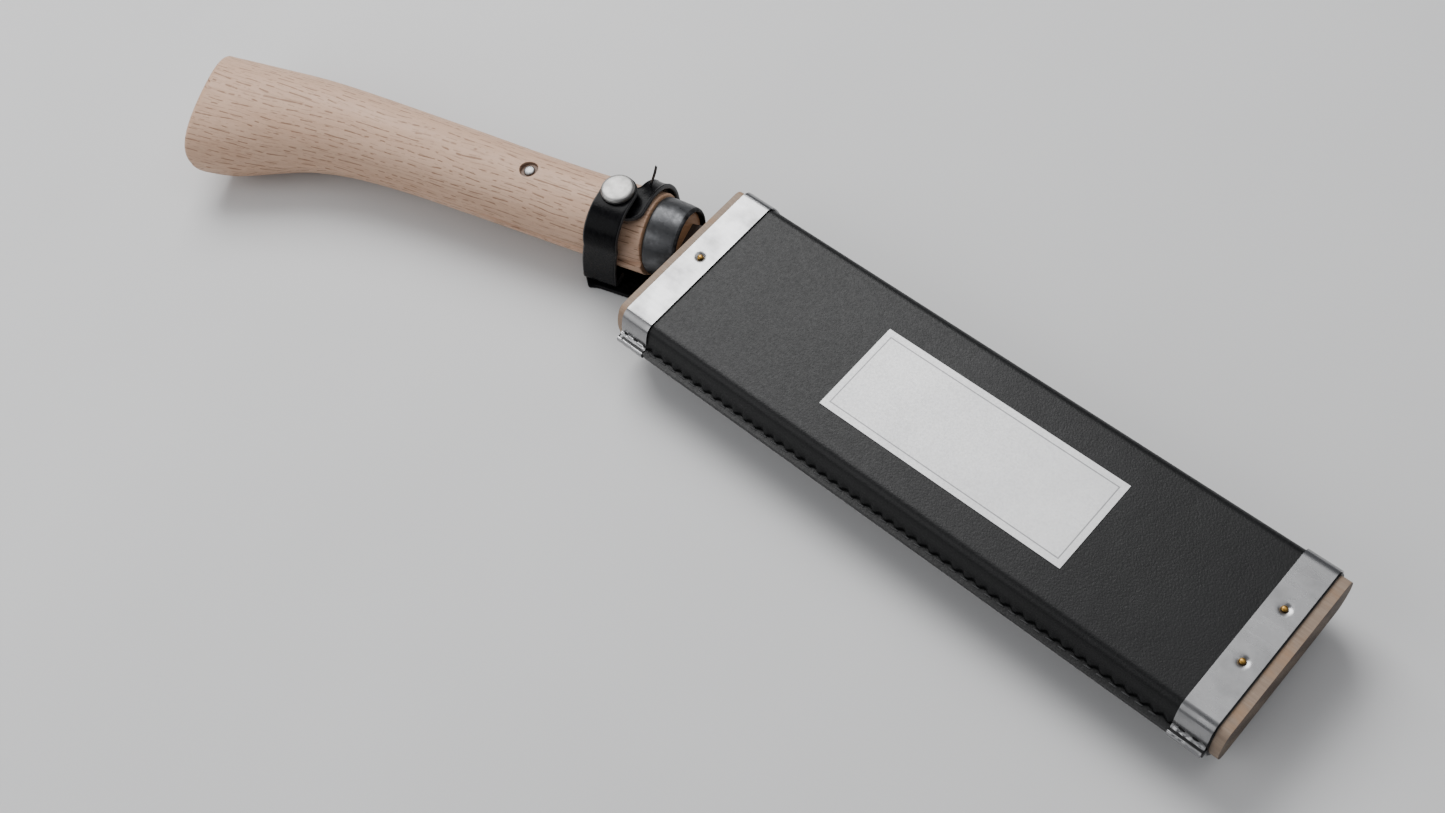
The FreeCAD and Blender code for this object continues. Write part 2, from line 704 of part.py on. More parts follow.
def make_thread_tail():
    """The sealed end of the arm's sewing thread, which stands up from the far arm."""
    turn = math.radians(size("strap_turn"))
    lean = FreeCAD.Vector(0.28, 0.24, 0.93)
    foot = FreeCAD.Vector(
        size("strap_x") + size("tail_u") * math.cos(turn) - size("tail_v") * math.sin(turn),
        size("strap_y") + size("tail_u") * math.sin(turn) + size("tail_v") * math.cos(turn),
        size("far_under + strap_thick + tail_clear"))
    tail = doc.addObject("Part::Cylinder", "thread_tail")
    tail.setExpression("Radius", "sizes.tail_round")
    tail.setExpression("Height", "sizes.tail_long")
    tail.Placement = FreeCAD.Placement(foot, FreeCAD.Rotation(FreeCAD.Vector(0, 0, 1), lean))


# ---------------------------------------------------------------- knife

def blade_points(grow):
    """The forging's outline with its tang, all sides moved out by grow."""
    turn = math.radians(size("ferrule_turn"))
    face_x = "(sizes.ferrule_x + %.6f * sizes.ferrule_long)" % math.cos(turn)
    face_y = "(sizes.ferrule_y + %.6f * sizes.ferrule_long)" % math.sin(turn)
    across = (-math.sin(turn), math.cos(turn))
    half = "(sizes.tang_half + %s)" % grow
    tip_half = "(sizes.tang_tip_half + %s)" % grow
    end = "(sizes.blade_start + sizes.blade_long)"
    return [
        ("sizes.blade_start", "-sizes.blade_half"),
        (end, "-sizes.blade_half"),
        (end + " - sizes.blade_slant", "sizes.blade_half"),
        ("sizes.blade_start + sizes.neck_spine", "sizes.blade_half"),
        ("%s + %.6f * %s" % (face_x, across[0], half), "%s + %.6f * %s" % (face_y, across[1], half)),
        ("sizes.tang_tip_x + %.6f * %s" % (across[0], tip_half) + " - " + grow,
         "sizes.tang_tip_y + %.6f * %s" % (across[1], tip_half)),
        ("sizes.tang_tip_x - %.6f * %s" % (across[0], tip_half) + " - " + grow,
         "sizes.tang_tip_y - %.6f * %s" % (across[1], tip_half)),
        ("%s - %.6f * %s" % (face_x, across[0], half), "%s - %.6f * %s" % (face_y, across[1], half)),
        ("sizes.blade_start", "sizes.neck_edge"),
    ]


def make_blade():
    """The forging: blade, neck and tang in one, with a core of hard steel let into its edge."""
    body = new_body("forging")
    outline = new_sketch(body, "XY_Plane", "forging_outline", MIDDLE)
    draw_outline(outline, blade_points("0"))
    pad(body, "forging_pad", outline, "sizes.blade_thick", True)
    for side, sign in (("upper", "+"), ("lower", "-")):
        bevel = new_sketch(body, "YZ_Plane", "bevel_%s" % side, "sizes.blade_start")
        face = MIDDLE + " %s sizes.blade_thick / 2" % sign
        draw_outline(bevel, [("-sizes.blade_half - 1", face + " %s 1" % sign),
                             ("-sizes.blade_half - 1", MIDDLE + " %s sizes.edge_thick / 2" % sign),
                             ("-sizes.blade_half", MIDDLE + " %s sizes.edge_thick / 2" % sign),
                             ("-sizes.blade_half + sizes.bevel_high", face),
                             ("-sizes.blade_half + sizes.bevel_high", face + " %s 1" % sign)])
        pocket(body, "bevel_cut_%s" % side, bevel, "2 * sizes.blade_long + 40")
    strip = box("core_strip", "sizes.blade_start - 1", "-sizes.blade_half - 1",
                MIDDLE + " - sizes.core_thick / 2", "sizes.blade_long + 2",
                "sizes.core_high + 1", "sizes.core_thick")
    common("edge_steel", body, strip)
    hole = cylinder("tang_hole", "sizes.pin_x", "sizes.pin_y", "0",
                    "sizes.pin_shank + sizes.hole_slack", "sizes.cutter_through")
    cut("blade", body, fuse("blade_cuts", [strip, hole]))


def ferrule_frame(name):
    """A body whose Z axis is the ferrule's axis, from its back to its front."""
    body = doc.addObject("PartDesign::Body", name)
    turn = math.radians(size("ferrule_turn"))
    axis = FreeCAD.Vector(math.cos(turn), math.sin(turn), 0)
    body.Placement.Rotation = FreeCAD.Rotation(FreeCAD.Vector(0, 0, 1), axis)
    for side, expression in zip("xyz", ("sizes.ferrule_x", "sizes.ferrule_y", MIDDLE)):
        body.setExpression("Placement.Base." + side, expression)
    return body


def make_ferrule():
    """A forged ring, a little conical, rolled in at its front lip."""
    body = ferrule_frame("ferrule")
    front = "sizes.ferrule_long"
    revolve_outline(body, "ferrule_turned",
                    [("sizes.ferrule_back - sizes.ferrule_wall", "0"), ("sizes.ferrule_back", "0"),
                     ("sizes.ferrule_front + sizes.ferrule_swell", front + " - sizes.ferrule_shoulder"),
                     ("sizes.ferrule_front - sizes.ferrule_rim", front),
                     ("sizes.ferrule_front - sizes.ferrule_wall", front)])


def handle_station(letter):
    """One oval section of the handle, square to its bent axis."""
    oval = doc.addObject("Part::Ellipse", "grip_section_" + letter)
    turn = math.radians(size("grip_turn_" + letter))
    across = FreeCAD.Vector(-math.sin(turn), math.cos(turn), 0)
    oval.Placement.Rotation = FreeCAD.Rotation(across, FreeCAD.Vector(0, 0, 1),
                                               FreeCAD.Vector(0, 0, 0), "XYZ")
    for side, expression in zip("xyz", ("sizes.grip_x_" + letter, "sizes.grip_y_" + letter, MIDDLE)):
        oval.setExpression("Placement.Base." + side, expression)
    oval.setExpression("MajorRadius", "sizes.grip_half_" + letter)
    oval.setExpression("MinorRadius", "sizes.grip_deep_" + letter)
    return oval


def butt_edges(shape):
    """The numbers of the rim edges round the handle's domed free end."""
    face = min(shape.Faces, key=lambda item: item.CenterOfMass.x)
    return [number for number, edge in enumerate(shape.Edges, start=1)
            if any(edge.isSame(rim) for rim in face.Edges)]


def butt_cutter():
    """What lies behind the butt's domed end."""
    body = new_body("butt_cutter", "sizes.grip_x_j", "sizes.grip_y_j", "0", "grip_turn_j")
    sketch = new_sketch(body, "XZ_Plane", "butt_cutter_outline")
    low, high = MIDDLE + " - sizes.butt_reach", MIDDLE + " + sizes.butt_reach"
    rim = "(sizes.butt_dome - sqrt(sizes.butt_dome ^ 2 - sizes.butt_reach ^ 2))"
    draw_outline(sketch, [("-sizes.cutter_long", low), (rim, low), (rim, high),
                          ("-sizes.cutter_long", high)],
                 {1: ("0", MIDDLE, "X", "sizes.butt_dome")})
    pad(body, "butt_cutter_pad", sketch, "4 * sizes.sheath_half", True)
    return body


def make_handle():
    """Bent oak grip with a flared butt, a tenon for the ferrule and a slot for the tang."""
    grip = doc.addObject("Part::Loft", "grip_loft")
    grip.Sections = [handle_station(letter) for letter in "abcdefghij"]
    grip.Solid = True
    doc.recompute()
    domed = cut("grip_domed", grip, butt_cutter())
    rounded = doc.addObject("Part::Fillet", "grip_rounded")
    rounded.Base = domed
    rounded.Edges = [(number, size("butt_round"), size("butt_round")) for number in butt_edges(domed.Shape)]
    doc.recompute()
    tenon = ferrule_frame("tenon")
    front = "sizes.ferrule_long - sizes.ferrule_lip"
    revolve_outline(tenon, "tenon_turned",
                    [("0", "-3"), ("sizes.tenon_back", "-3"), ("sizes.tenon_back", "0.05"),
                     ("sizes.tenon_front", front), ("0", front)])
    slot = new_body("tang_slot")
    outline = new_sketch(slot, "XY_Plane", "tang_slot_outline", MIDDLE)
    draw_outline(outline, blade_points("sizes.tang_slack"))
    pad(slot, "tang_slot_pad", outline, "sizes.blade_thick + 2 * sizes.tang_slack", True)
    sinks = [cylinder("pin_hole", "sizes.pin_x", "sizes.pin_y", "0",
                      "sizes.pin_shank + sizes.hole_slack", "sizes.cutter_through"),
             cylinder("pin_sink_front", "sizes.pin_x", "sizes.pin_y",
                      MIDDLE + " + sizes.pin_length / 2", "sizes.pin_sink_round", "sizes.cutter_long"),
             cylinder("pin_sink_back", "sizes.pin_x", "sizes.pin_y",
                      MIDDLE + " - sizes.pin_length / 2 - sizes.cutter_long", "sizes.pin_sink_round",
                      "sizes.cutter_long")]
    wood = fuse("grip_with_tenon", [rounded, tenon])
    cut("handle", wood, fuse("grip_cuts", [slot] + sinks))


def make_handle_pin():
    """The rivet through the handle and the tang, with a domed head at each end."""
    body = new_body("handle_rivet", "sizes.pin_x", "sizes.pin_y", MIDDLE)
    seat = "sizes.pin_length / 2"
    top = seat + " + sizes.pin_rise"
    revolve_outline(body, "handle_rivet_turned",
                    [("0", "-" + seat + " - sizes.pin_rise"), ("sizes.pin_head", "-" + seat),
                     ("sizes.pin_shank", "-" + seat), ("sizes.pin_shank", seat),
                     ("sizes.pin_head", seat), ("0", top)],
                    {0: dome("sizes.pin_head", "-" + seat, "-", "sizes.pin_rise"),
                     4: dome("sizes.pin_head", seat, "+", "sizes.pin_rise")})


# ---------------------------------------------------------------- build and write

NODES = ["blade", "edge_steel", "handle", "ferrule", "handle_rivet",
         "sheath_wood_front", "sheath_wood_back", "sheath_cover", "seam_thread",
         "mouth_band", "tip_band", "mouth_band_nail", "tip_band_nails", "label_plate",
         "belt_loop", "belt_loop_rivets", "strap_base", "strap_rivets",
         "strap_near_arm", "strap_flap", "snap_cap", "snap_socket",
         "strap_far_arm", "snap_stud", "thread_tail"]


def build():
    fill_sheet()
    holes = nail_holes("fixing_holes")
    make_sheath(holes)
    make_nails()
    make_label()
    make_seam_thread()
    make_belt_loop()
    make_rivets()
    make_strap_base()
    make_near_arm()
    make_flap()
    make_far_arm()
    make_snap()
    make_thread_tail()
    make_blade()
    make_ferrule()
    make_handle()
    make_handle_pin()
    doc.recompute()


def check():
    for item in doc.Objects:
        if "Invalid" in item.State or "Error" in item.State:
            raise RuntimeError("%s failed: %s" % (item.Name, item.State))
    for name in NODES:
        shape = doc.getObject(name).Shape
        if shape.isNull() or not shape.isValid() or not shape.Solids:
            raise RuntimeError(name + " has no valid solid")


def write():
    os.makedirs("parts", exist_ok=True)
    for name in NODES:
        node = doc.getObject(name)
        node.Label = name
        node.Shape.exportStep("parts/%s.step" % name)
        box_of = node.Shape.BoundBox
        print("%-20s %3d solids %9.1f mm3  x %.1f..%.1f  y %.1f..%.1f  z %.1f..%.1f" % (
            name, len(node.Shape.Solids), node.Shape.Volume, box_of.XMin, box_of.XMax,
            box_of.YMin, box_of.YMax, box_of.ZMin, box_of.ZMax))


build()
check()
write()
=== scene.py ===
import json
import math

import bmesh
import bpy
from mathutils import Matrix, Vector, noise


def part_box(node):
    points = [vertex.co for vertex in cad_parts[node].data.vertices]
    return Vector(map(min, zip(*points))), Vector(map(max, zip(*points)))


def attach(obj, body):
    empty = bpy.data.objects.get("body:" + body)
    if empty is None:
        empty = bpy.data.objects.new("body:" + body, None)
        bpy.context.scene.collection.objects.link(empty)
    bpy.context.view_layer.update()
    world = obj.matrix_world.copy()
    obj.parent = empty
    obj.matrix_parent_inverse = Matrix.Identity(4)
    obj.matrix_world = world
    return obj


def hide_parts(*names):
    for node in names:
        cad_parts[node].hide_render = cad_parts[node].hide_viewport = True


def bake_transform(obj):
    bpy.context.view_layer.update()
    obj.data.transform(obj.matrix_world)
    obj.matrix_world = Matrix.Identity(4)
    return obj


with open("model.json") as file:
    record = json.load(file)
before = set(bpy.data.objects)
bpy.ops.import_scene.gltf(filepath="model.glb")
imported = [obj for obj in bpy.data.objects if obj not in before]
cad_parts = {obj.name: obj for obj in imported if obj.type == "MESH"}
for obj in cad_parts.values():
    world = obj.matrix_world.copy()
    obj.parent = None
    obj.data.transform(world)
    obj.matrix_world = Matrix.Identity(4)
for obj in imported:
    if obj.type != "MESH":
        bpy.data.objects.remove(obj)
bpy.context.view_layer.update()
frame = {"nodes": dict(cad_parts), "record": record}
MM = 0.001


def joint(name):
    return [item for item in frame["record"]["behaviour"]["joints"] if item["name"] == name][0]


# ------------------------------------------------------------------ places, from the frame

COVER_LOW, COVER_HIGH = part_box("sheath_cover")
MIDDLE = (COVER_LOW.z + COVER_HIGH.z) / 2       # height of the blade's middle plane
SHEATH_HALF = COVER_HIGH.y                      # half width at the bulge of the sides
STRAP_AXIS = Vector(joint("snap_flap_lift")["axis"]).normalized()
STRAP_ACROSS = Vector((-STRAP_AXIS.y, STRAP_AXIS.x, 0))
SNAP_LOW, SNAP_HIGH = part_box("snap_cap")
SNAP = (SNAP_LOW + SNAP_HIGH) / 2


def strap_point(along, across, height):
    """A point in the strap's own frame, in millimetres from below the snap, in the row frame."""
    place = Vector((SNAP.x, SNAP.y, 0)) + STRAP_AXIS * along * MM + STRAP_ACROSS * across * MM
    return Vector((place.x, place.y, height * MM))


# ------------------------------------------------------------------ material nodes

class Nodes:
    """Builds one Principled material from short calls."""

    def __init__(self, name):
        self.material = bpy.data.materials.new(name)
        self.material.use_nodes = True
        self.tree = self.material.node_tree
        self.shader = self.tree.nodes["Principled BSDF"]
        self.place = self.tree.nodes.new("ShaderNodeTexCoord").outputs["Object"]

    def add(self, kind, inputs=None, **settings):
        node = self.tree.nodes.new("ShaderNode" + kind)
        for key, value in settings.items():
            setattr(node, key, value)
        for key, value in (inputs or {}).items():
            self.put(node.inputs[key], value)
        return node

    def put(self, socket, value):
        if isinstance(value, bpy.types.NodeSocket):
            self.tree.links.new(value, socket)
        else:
            socket.default_value = value

    def stretched(self, scale, turn=0.0):
        """Object coordinates, turned about Z and then scaled."""
        turned = self.add("Mapping", {"Vector": self.place, "Rotation": (0, 0, turn)})
        return self.add("Mapping", {"Vector": turned.outputs[0], "Scale": scale}).outputs[0]

    def noise(self, vector, scale=1.0, detail=4.0, rough=0.55):
        node = self.add("TexNoise", {"Vector": vector, "Scale": scale, "Detail": detail,
                                     "Roughness": rough})
        return node.outputs["Fac"]

    def cells(self, vector, scale=1.0, feature="F1"):
        node = self.add("TexVoronoi", {"Vector": vector, "Scale": scale}, feature=feature)
        return node.outputs["Distance"]

    def ramp(self, value, low, high, start=0.0, end=1.0):
        node = self.add("MapRange", {"Value": value, "From Min": low, "From Max": high,
                                     "To Min": start, "To Max": end})
        return node.outputs["Result"]

    def maths(self, operation, first, second=0.0):
        return self.add("Math", {0: first, 1: second}, operation=operation).outputs[0]

    def times(self, first, second):
        return self.maths("MULTIPLY", first, second)

    def plus(self, first, second):
        return self.maths("ADD", first, second)

    def minus(self, first, second):
        return self.maths("SUBTRACT", first, second)

    def blend(self, amount, first, second):
        node = self.add("Mix", data_type="RGBA")
        self.put(node.inputs["Factor"], amount)
        self.put(node.inputs[6], first)
        self.put(node.inputs[7], second)
        return node.outputs[2]

    def axis(self, name, source=None):
        return self.add("SeparateXYZ", {0: source or self.place}).outputs[name]

    def bump(self, height, distance, strength=1.0, over=None):
        node = self.add("Bump", {"Height": height, "Distance": distance, "Strength": strength})
        if over is not None:
            self.put(node.inputs["Normal"], over)
        return node.outputs["Normal"]

    def finish(self, **inputs):
        for key, value in inputs.items():
            self.put(self.shader.inputs[key.replace("_", " ")], value)
        return self.material


def rgb(red, green, blue):
    return (red, green, blue, 1.0)


# ------------------------------------------------------------------ materials

def pore_rows(m, turn, pitch, thick, long, seed, way=1):
    """Rows of short pores, one to each year's growth, that wander a little along the grain.

    The rows lie in parallel sheets that lean 45 degrees, to the other side when way is -1."""
    place = m.stretched((1, 1, 1), turn)
    along = m.axis("X", place)
    warp = m.noise(m.stretched((10, 38, 38), turn), 1.0, 2.0)
    across = m.plus(m.times(m.axis("Y", place), 0.7), m.times(m.axis("Z", place), 0.71 * way))
    across = m.plus(across, m.times(warp, 0.006))
    count = m.maths("DIVIDE", across, pitch)
    row = m.maths("FLOOR", count)

    def along_row(step, shift):
        """Noise that runs along one row and is another for the next."""
        vector = m.add("CombineXYZ", {"X": m.maths("DIVIDE", along, step),
                                      "Y": m.times(row, 7.31), "Z": seed + shift})
        return m.noise(vector.outputs[0], 1.0, 1.0)

    middle = m.ramp(along_row(long * 4, 2.0), 0.25, 0.75, 0.22, 0.78)
    away = m.maths("ABSOLUTE", m.minus(m.maths("FRACT", count), middle))
    wide = m.ramp(along_row(long * 0.6, 4.0), 0.3, 0.7, thick * 0.3 / pitch, thick * 0.62 / pitch)
    inside = m.ramp(m.minus(wide, away), -0.03, 0.05)
    dash = m.ramp(along_row(long, 6.0), 0.47, 0.53)
    return m.times(inside, dash)


def oak(name, turn, pale=rgb(0.60, 0.40, 0.285), dark=rgb(0.22, 0.115, 0.06)):
    """Bare pale oak: soft bands, fine fibres, and short dark pores that run along the grain."""
    m = Nodes(name)
    bands = m.noise(m.stretched((7, 110, 110), turn), 1.0, 5.0, 0.6)
    fine = m.noise(m.stretched((60, 900, 900), turn), 1.0, 6.0, 0.7)
    body = m.blend(m.ramp(bands, 0.3, 0.72), pale, rgb(pale[0] * 0.86, pale[1] * 0.8, pale[2] * 0.75))
    body = m.blend(m.ramp(fine, 0.42, 0.8, 0.0, 0.3), body, dark)
    normal = m.add("TexCoord").outputs["Normal"]
    lean = m.plus(m.times(m.axis("Y", normal), 0.7), m.times(m.axis("Z", normal), 0.71))
    other = m.ramp(m.maths("ABSOLUTE", lean), 0.66, 0.74)
    layers = []
    for way in (1, -1):
        deep = pore_rows(m, turn, 0.0018, 0.00037, 0.0042, 1.0, way)
        faint = pore_rows(m, turn, 0.0013, 0.00027, 0.003, 9.0, way)
        layers.append(m.maths("MAXIMUM", deep, m.times(faint, 0.45)))
    pores = m.ramp(other, 0.0, 1.0, layers[0], layers[1])
    colour = m.blend(m.times(pores, 0.85), body, dark)
    height = m.minus(m.times(fine, 0.35), pores)
    return m, colour, m.bump(height, 0.00014, 0.6)


def handle_wood():
    """The grip's oak, darkened by fire at the shoulder behind the ferrule, with painted shade in the pin's
    sinks.
    """
    m, colour, bump = oak("handle_oak", -math.radians(16))
    ring = ferrule_frame()
    back = ring.inverted()
    direction = Vector((back[2][0], back[2][1], back[2][2]))
    along = m.add("VectorMath", {0: m.place, 1: direction}, operation="DOT_PRODUCT").outputs["Value"]
    depth = m.plus(along, back[2][3])
    ragged = m.plus(depth, m.times(m.noise(m.place, 900.0, 3.0), 0.0011))
    scorched = m.ramp(ragged, -0.0001, 0.0003)
    colour = m.blend(m.times(scorched, 0.8), colour, rgb(0.58, 0.33, 0.18))
    charred = m.ramp(ragged, 0.0015, 0.002)
    colour = m.blend(m.times(charred, 0.85), colour, rgb(0.07, 0.03, 0.015))
    rim = m.ramp(depth, 0.0055, 0.0065)
    colour = m.blend(rim, colour, rgb(0.50, 0.27, 0.14))
    # Painted shade: the wood within about 3 mm of the pin's axis is darkened, shade painted into the pin's
    # sinks.
    pin_low, pin_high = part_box("handle_rivet")
    pin = (pin_low + pin_high) / 2
    flat_place = m.add("CombineXYZ", {"X": m.axis("X"), "Y": m.axis("Y"), "Z": pin.z}).outputs[0]
    away = m.add("VectorMath", {0: flat_place, 1: pin}, operation="DISTANCE").outputs["Value"]
    colour = m.blend(m.ramp(away, 0.0027, 0.0031, 0.85, 0.0), colour, rgb(0.10, 0.055, 0.035))
    return m.finish(Base_Color=colour, Roughness=m.ramp(m.noise(m.place, 700.0), 0.3, 0.7, 0.5, 0.62),
                    Normal=bump)


def end_grain():
    """Stained end grain inside the ferrule, with its growth rings."""
    m = Nodes("end_grain")
    rings = m.add("TexWave", {"Vector": m.place, "Scale": 260.0, "Distortion": 3.0, "Detail": 3.0},
                  wave_type="RINGS")
    speck = m.cells(m.place, 2300.0)
    mix = m.times(rings.outputs["Fac"], m.ramp(speck, 0.1, 0.6))
    colour = m.blend(mix, rgb(0.055, 0.028, 0.014), rgb(0.19, 0.105, 0.055))
    centre = ferrule_frame() @ Vector((0, 0, TENON_END * MM))
    away = m.add("VectorMath", {0: m.place, 1: centre}, operation="DISTANCE").outputs["Value"]
    colour = m.blend(m.ramp(away, 0.0088, 0.0091), colour, rgb(0.52, 0.29, 0.16))
    return m.finish(Base_Color=colour, Roughness=0.6, Normal=m.bump(speck, 0.0001, 0.6))


def sheath_end_grain_and_shade():
    """Sawn end grain with speckled pores and faint arcs of growth: darker, partly as end grain and partly
    as painted shade on the end faces.
    """
    m = Nodes("sheath_end_grain_and_shade")
    arcs = m.add("TexWave", {"Vector": m.stretched((1, 22, 30), 0.3), "Scale": 1.3, "Distortion": 5.0,
                             "Detail": 4.0}, wave_type="RINGS").outputs["Fac"]
    speck = m.ramp(m.cells(m.stretched((300, 1500, 1100))), 0.18, 0.42, 1.0, 0.0)
    fuzz = m.noise(m.place, 1400.0, 6.0, 0.7)
    # Painted shade: both colours are kept dark to stand for the shade on the end faces, on top of end
    # grain's own darker tone.
    colour = m.blend(m.ramp(arcs, 0.2, 0.8), rgb(0.15, 0.105, 0.072), rgb(0.085, 0.055, 0.036))
    colour = m.blend(m.times(speck, 0.55), colour, rgb(0.035, 0.022, 0.015))
    height = m.minus(fuzz, speck)
    return m.finish(Base_Color=colour, Roughness=0.68, Normal=m.bump(height, 0.00016, 0.6))


def sheath_wood():
    """Plain sawn softwood: fuzzy fine fibre with a few warmer patches."""
    m = Nodes("sheath_wood")
    fibre = m.noise(m.stretched((120, 1500, 1500)), 1.0, 6.0, 0.7)
    patch = m.noise(m.stretched((60, 130, 130)), 1.0, 4.0, 0.6)
    colour = m.blend(m.ramp(fibre, 0.35, 0.7), rgb(0.31, 0.23, 0.17), rgb(0.22, 0.155, 0.11))
    colour = m.blend(m.ramp(patch, 0.5, 0.7, 0.0, 0.75), colour, rgb(0.31, 0.17, 0.08))
    return m.finish(Base_Color=colour, Roughness=0.66, Normal=m.bump(fibre, 0.00018, 0.6))


def forged_iron(name, black=rgb(0.052, 0.053, 0.056), gloss=0.3):
    """Black forge scale over hammered iron, rubbed brighter where it is handled."""
    m = Nodes(name)
    scale = m.noise(m.place, 900.0, 8.0, 0.65)
    blows = m.cells(m.place, 160.0, "SMOOTH_F1")
    rubbed = m.ramp(m.noise(m.place, 210.0, 4.0), 0.48, 0.75)
    colour = m.blend(m.times(rubbed, 0.6), black, rgb(0.17, 0.173, 0.18))
    rough = m.ramp(scale, 0.3, 0.75, gloss - 0.05, gloss + 0.24)
    height = m.plus(m.times(blows, 1.6), m.times(scale, 0.35))
    return m.finish(Base_Color=colour, Metallic=0.75, Roughness=rough,
                    Normal=m.bump(height, 0.0002, 0.5))


def blade_iron():
    """Forge scale on the flats and a ground bevel towards the edge, with painted shade on the neck at the
    mouth.
    """
    m = Nodes("blade_iron")
    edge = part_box("edge_steel")[0].y
    side = m.plus(m.axis("Y"), m.times(m.noise(m.place, 60.0, 3.0), 0.0016))
    ground = m.ramp(side, edge + 0.0158, edge + 0.0152)
    steel = m.ramp(side, edge + 0.0075, edge + 0.0066)
    scale = m.noise(m.place, 700.0, 8.0, 0.65)
    lines = m.noise(m.stretched((9000, 260, 260)), 1.0, 3.0)
    black = m.blend(m.ramp(scale, 0.4, 0.8), rgb(0.016, 0.017, 0.02), rgb(0.05, 0.052, 0.058))
    bright = m.blend(steel, rgb(0.34, 0.345, 0.35), rgb(0.58, 0.585, 0.59))
    colour = m.blend(ground, black, bright)
    rough = m.blend(ground, m.ramp(scale, 0.2, 0.8, 0.45, 0.7), m.ramp(lines, 0.2, 0.8, 0.22, 0.38))
    height = m.blend(ground, scale, m.times(lines, 0.25))
    # Painted shade: from the sheath's mouth back towards the handle the neck turns dark matt brown and not
    # metallic, standing for the shade in the gap between ferrule and mouth.
    neck_painted_shade = m.ramp(m.axis("X"), 0.0005, 0.0015, 1.0, 0.0)
    colour = m.blend(neck_painted_shade, colour, rgb(0.03, 0.018, 0.012))
    return m.finish(Base_Color=colour, Metallic=m.ramp(neck_painted_shade, 0.0, 1.0, 0.92, 0.0), Roughness=rough,
                    Normal=m.bump(height, 0.00012, 0.6))


def bright_metal(name, colour, along, rough=0.24, relief=0.00003):
    """Brushed or rubbed bright metal: fine lines along one way, smudges and small dents."""
    m = Nodes(name)
    lines = m.noise(m.stretched(along), 1.0, 3.0)
    smudge = m.noise(m.place, 130.0, 5.0)
    speck = m.ramp(m.cells(m.place, 700.0), 0.02, 0.09, 1.0, 0.0)
    darker = rgb(*(part * 0.72 for part in colour[:3]))
    tint = m.blend(m.ramp(smudge, 0.42, 0.72), colour, darker)
    tint = m.blend(m.times(speck, 0.35), tint, rgb(0.16, 0.14, 0.12))
    shine = m.ramp(lines, 0.2, 0.8, rough - 0.05, rough + 0.08)
    shine = m.plus(shine, m.ramp(smudge, 0.3, 0.7, 0.0, 0.12))
    return m.finish(Base_Color=tint, Metallic=1.0, Roughness=shine,
                    Normal=m.bump(m.plus(lines, m.times(smudge, 2.0)), relief, 0.3))


def black_cover():
    """Black vinyl leather with a fine pebbled grain, duller in its hollows."""
    m = Nodes("black_cover")
    warp = m.add("VectorMath", {0: m.stretched((1700, 2300, 2300), 0.5),
                                1: m.times(m.noise(m.place, 800.0, 3.0), 1.4)},
                 operation="ADD").outputs[0]
    pebble = m.cells(warp, 1.0, "SMOOTH_F1")
    crease = m.noise(m.place, 1300.0, 6.0, 0.7)
    patch = m.noise(m.place, 35.0, 3.0)
    dust = m.ramp(m.cells(m.place, 300.0), 0.02, 0.05, 1.0, 0.0)
    colour = m.blend(m.ramp(patch, 0.3, 0.7), rgb(0.003, 0.0032, 0.0035), rgb(0.006, 0.0063, 0.0067))
    colour = m.blend(m.times(dust, 0.10), colour, rgb(0.2, 0.2, 0.2))
    rough = m.ramp(crease, 0.3, 0.75, 0.34, 0.5)
    height = m.plus(m.times(pebble, -1.0), m.times(crease, 0.5))
    fine = m.bump(height, 0.00009, 0.5)
    return m.finish(Base_Color=colour, Roughness=rough, Specular_IOR_Level=0.22,
                    Normal=m.bump(patch, 0.0012, 0.25, over=fine))


def black_leather():
    """Glossy finished strap leather, with small creases."""
    m = Nodes("strap_leather")
    crease = m.noise(m.place, 600.0, 6.0, 0.65)
    grain = m.cells(m.place, 1700.0, "SMOOTH_F1")
    colour = m.blend(m.ramp(crease, 0.35, 0.75), rgb(0.0022, 0.0022, 0.0026), rgb(0.006, 0.006, 0.007))
    height = m.plus(crease, m.times(grain, 0.6))
    return m.finish(Base_Color=colour, Roughness=m.ramp(crease, 0.3, 0.8, 0.2, 0.36),
                    Specular_IOR_Level=0.06, Normal=m.bump(height, 0.00008, 0.45))


def cut_edge_and_highlight():
    """The strap's raw cut edge: rougher and paler than its face, partly the raw edge's own tone and partly
    a painted highlight along the edges.
    """
    m = Nodes("cut_edge_and_highlight")
    fibre = m.noise(m.place, 2600.0, 6.0, 0.7)
    # Painted highlight: the paler tone stands partly for light caught along the strap's edges.
    colour = m.blend(m.ramp(fibre, 0.35, 0.7), rgb(0.012, 0.012, 0.013), rgb(0.05, 0.049, 0.048))
    return m.finish(Base_Color=colour, Roughness=0.5, Normal=m.bump(fibre, 0.0001, 0.6))


def waxed_thread():
    """Twisted black thread."""
    m = Nodes("waxed_thread")
    twist = m.add("TexWave", {"Vector": m.stretched((1, 1, 1), 0.6), "Scale": 900.0, "Distortion": 0.6})
    colour = m.blend(twist.outputs["Fac"], rgb(0.012, 0.012, 0.013), rgb(0.045, 0.045, 0.047))
    return m.finish(Base_Color=colour, Roughness=0.48,
                    Normal=m.bump(twist.outputs["Fac"], 0.00008, 0.6))


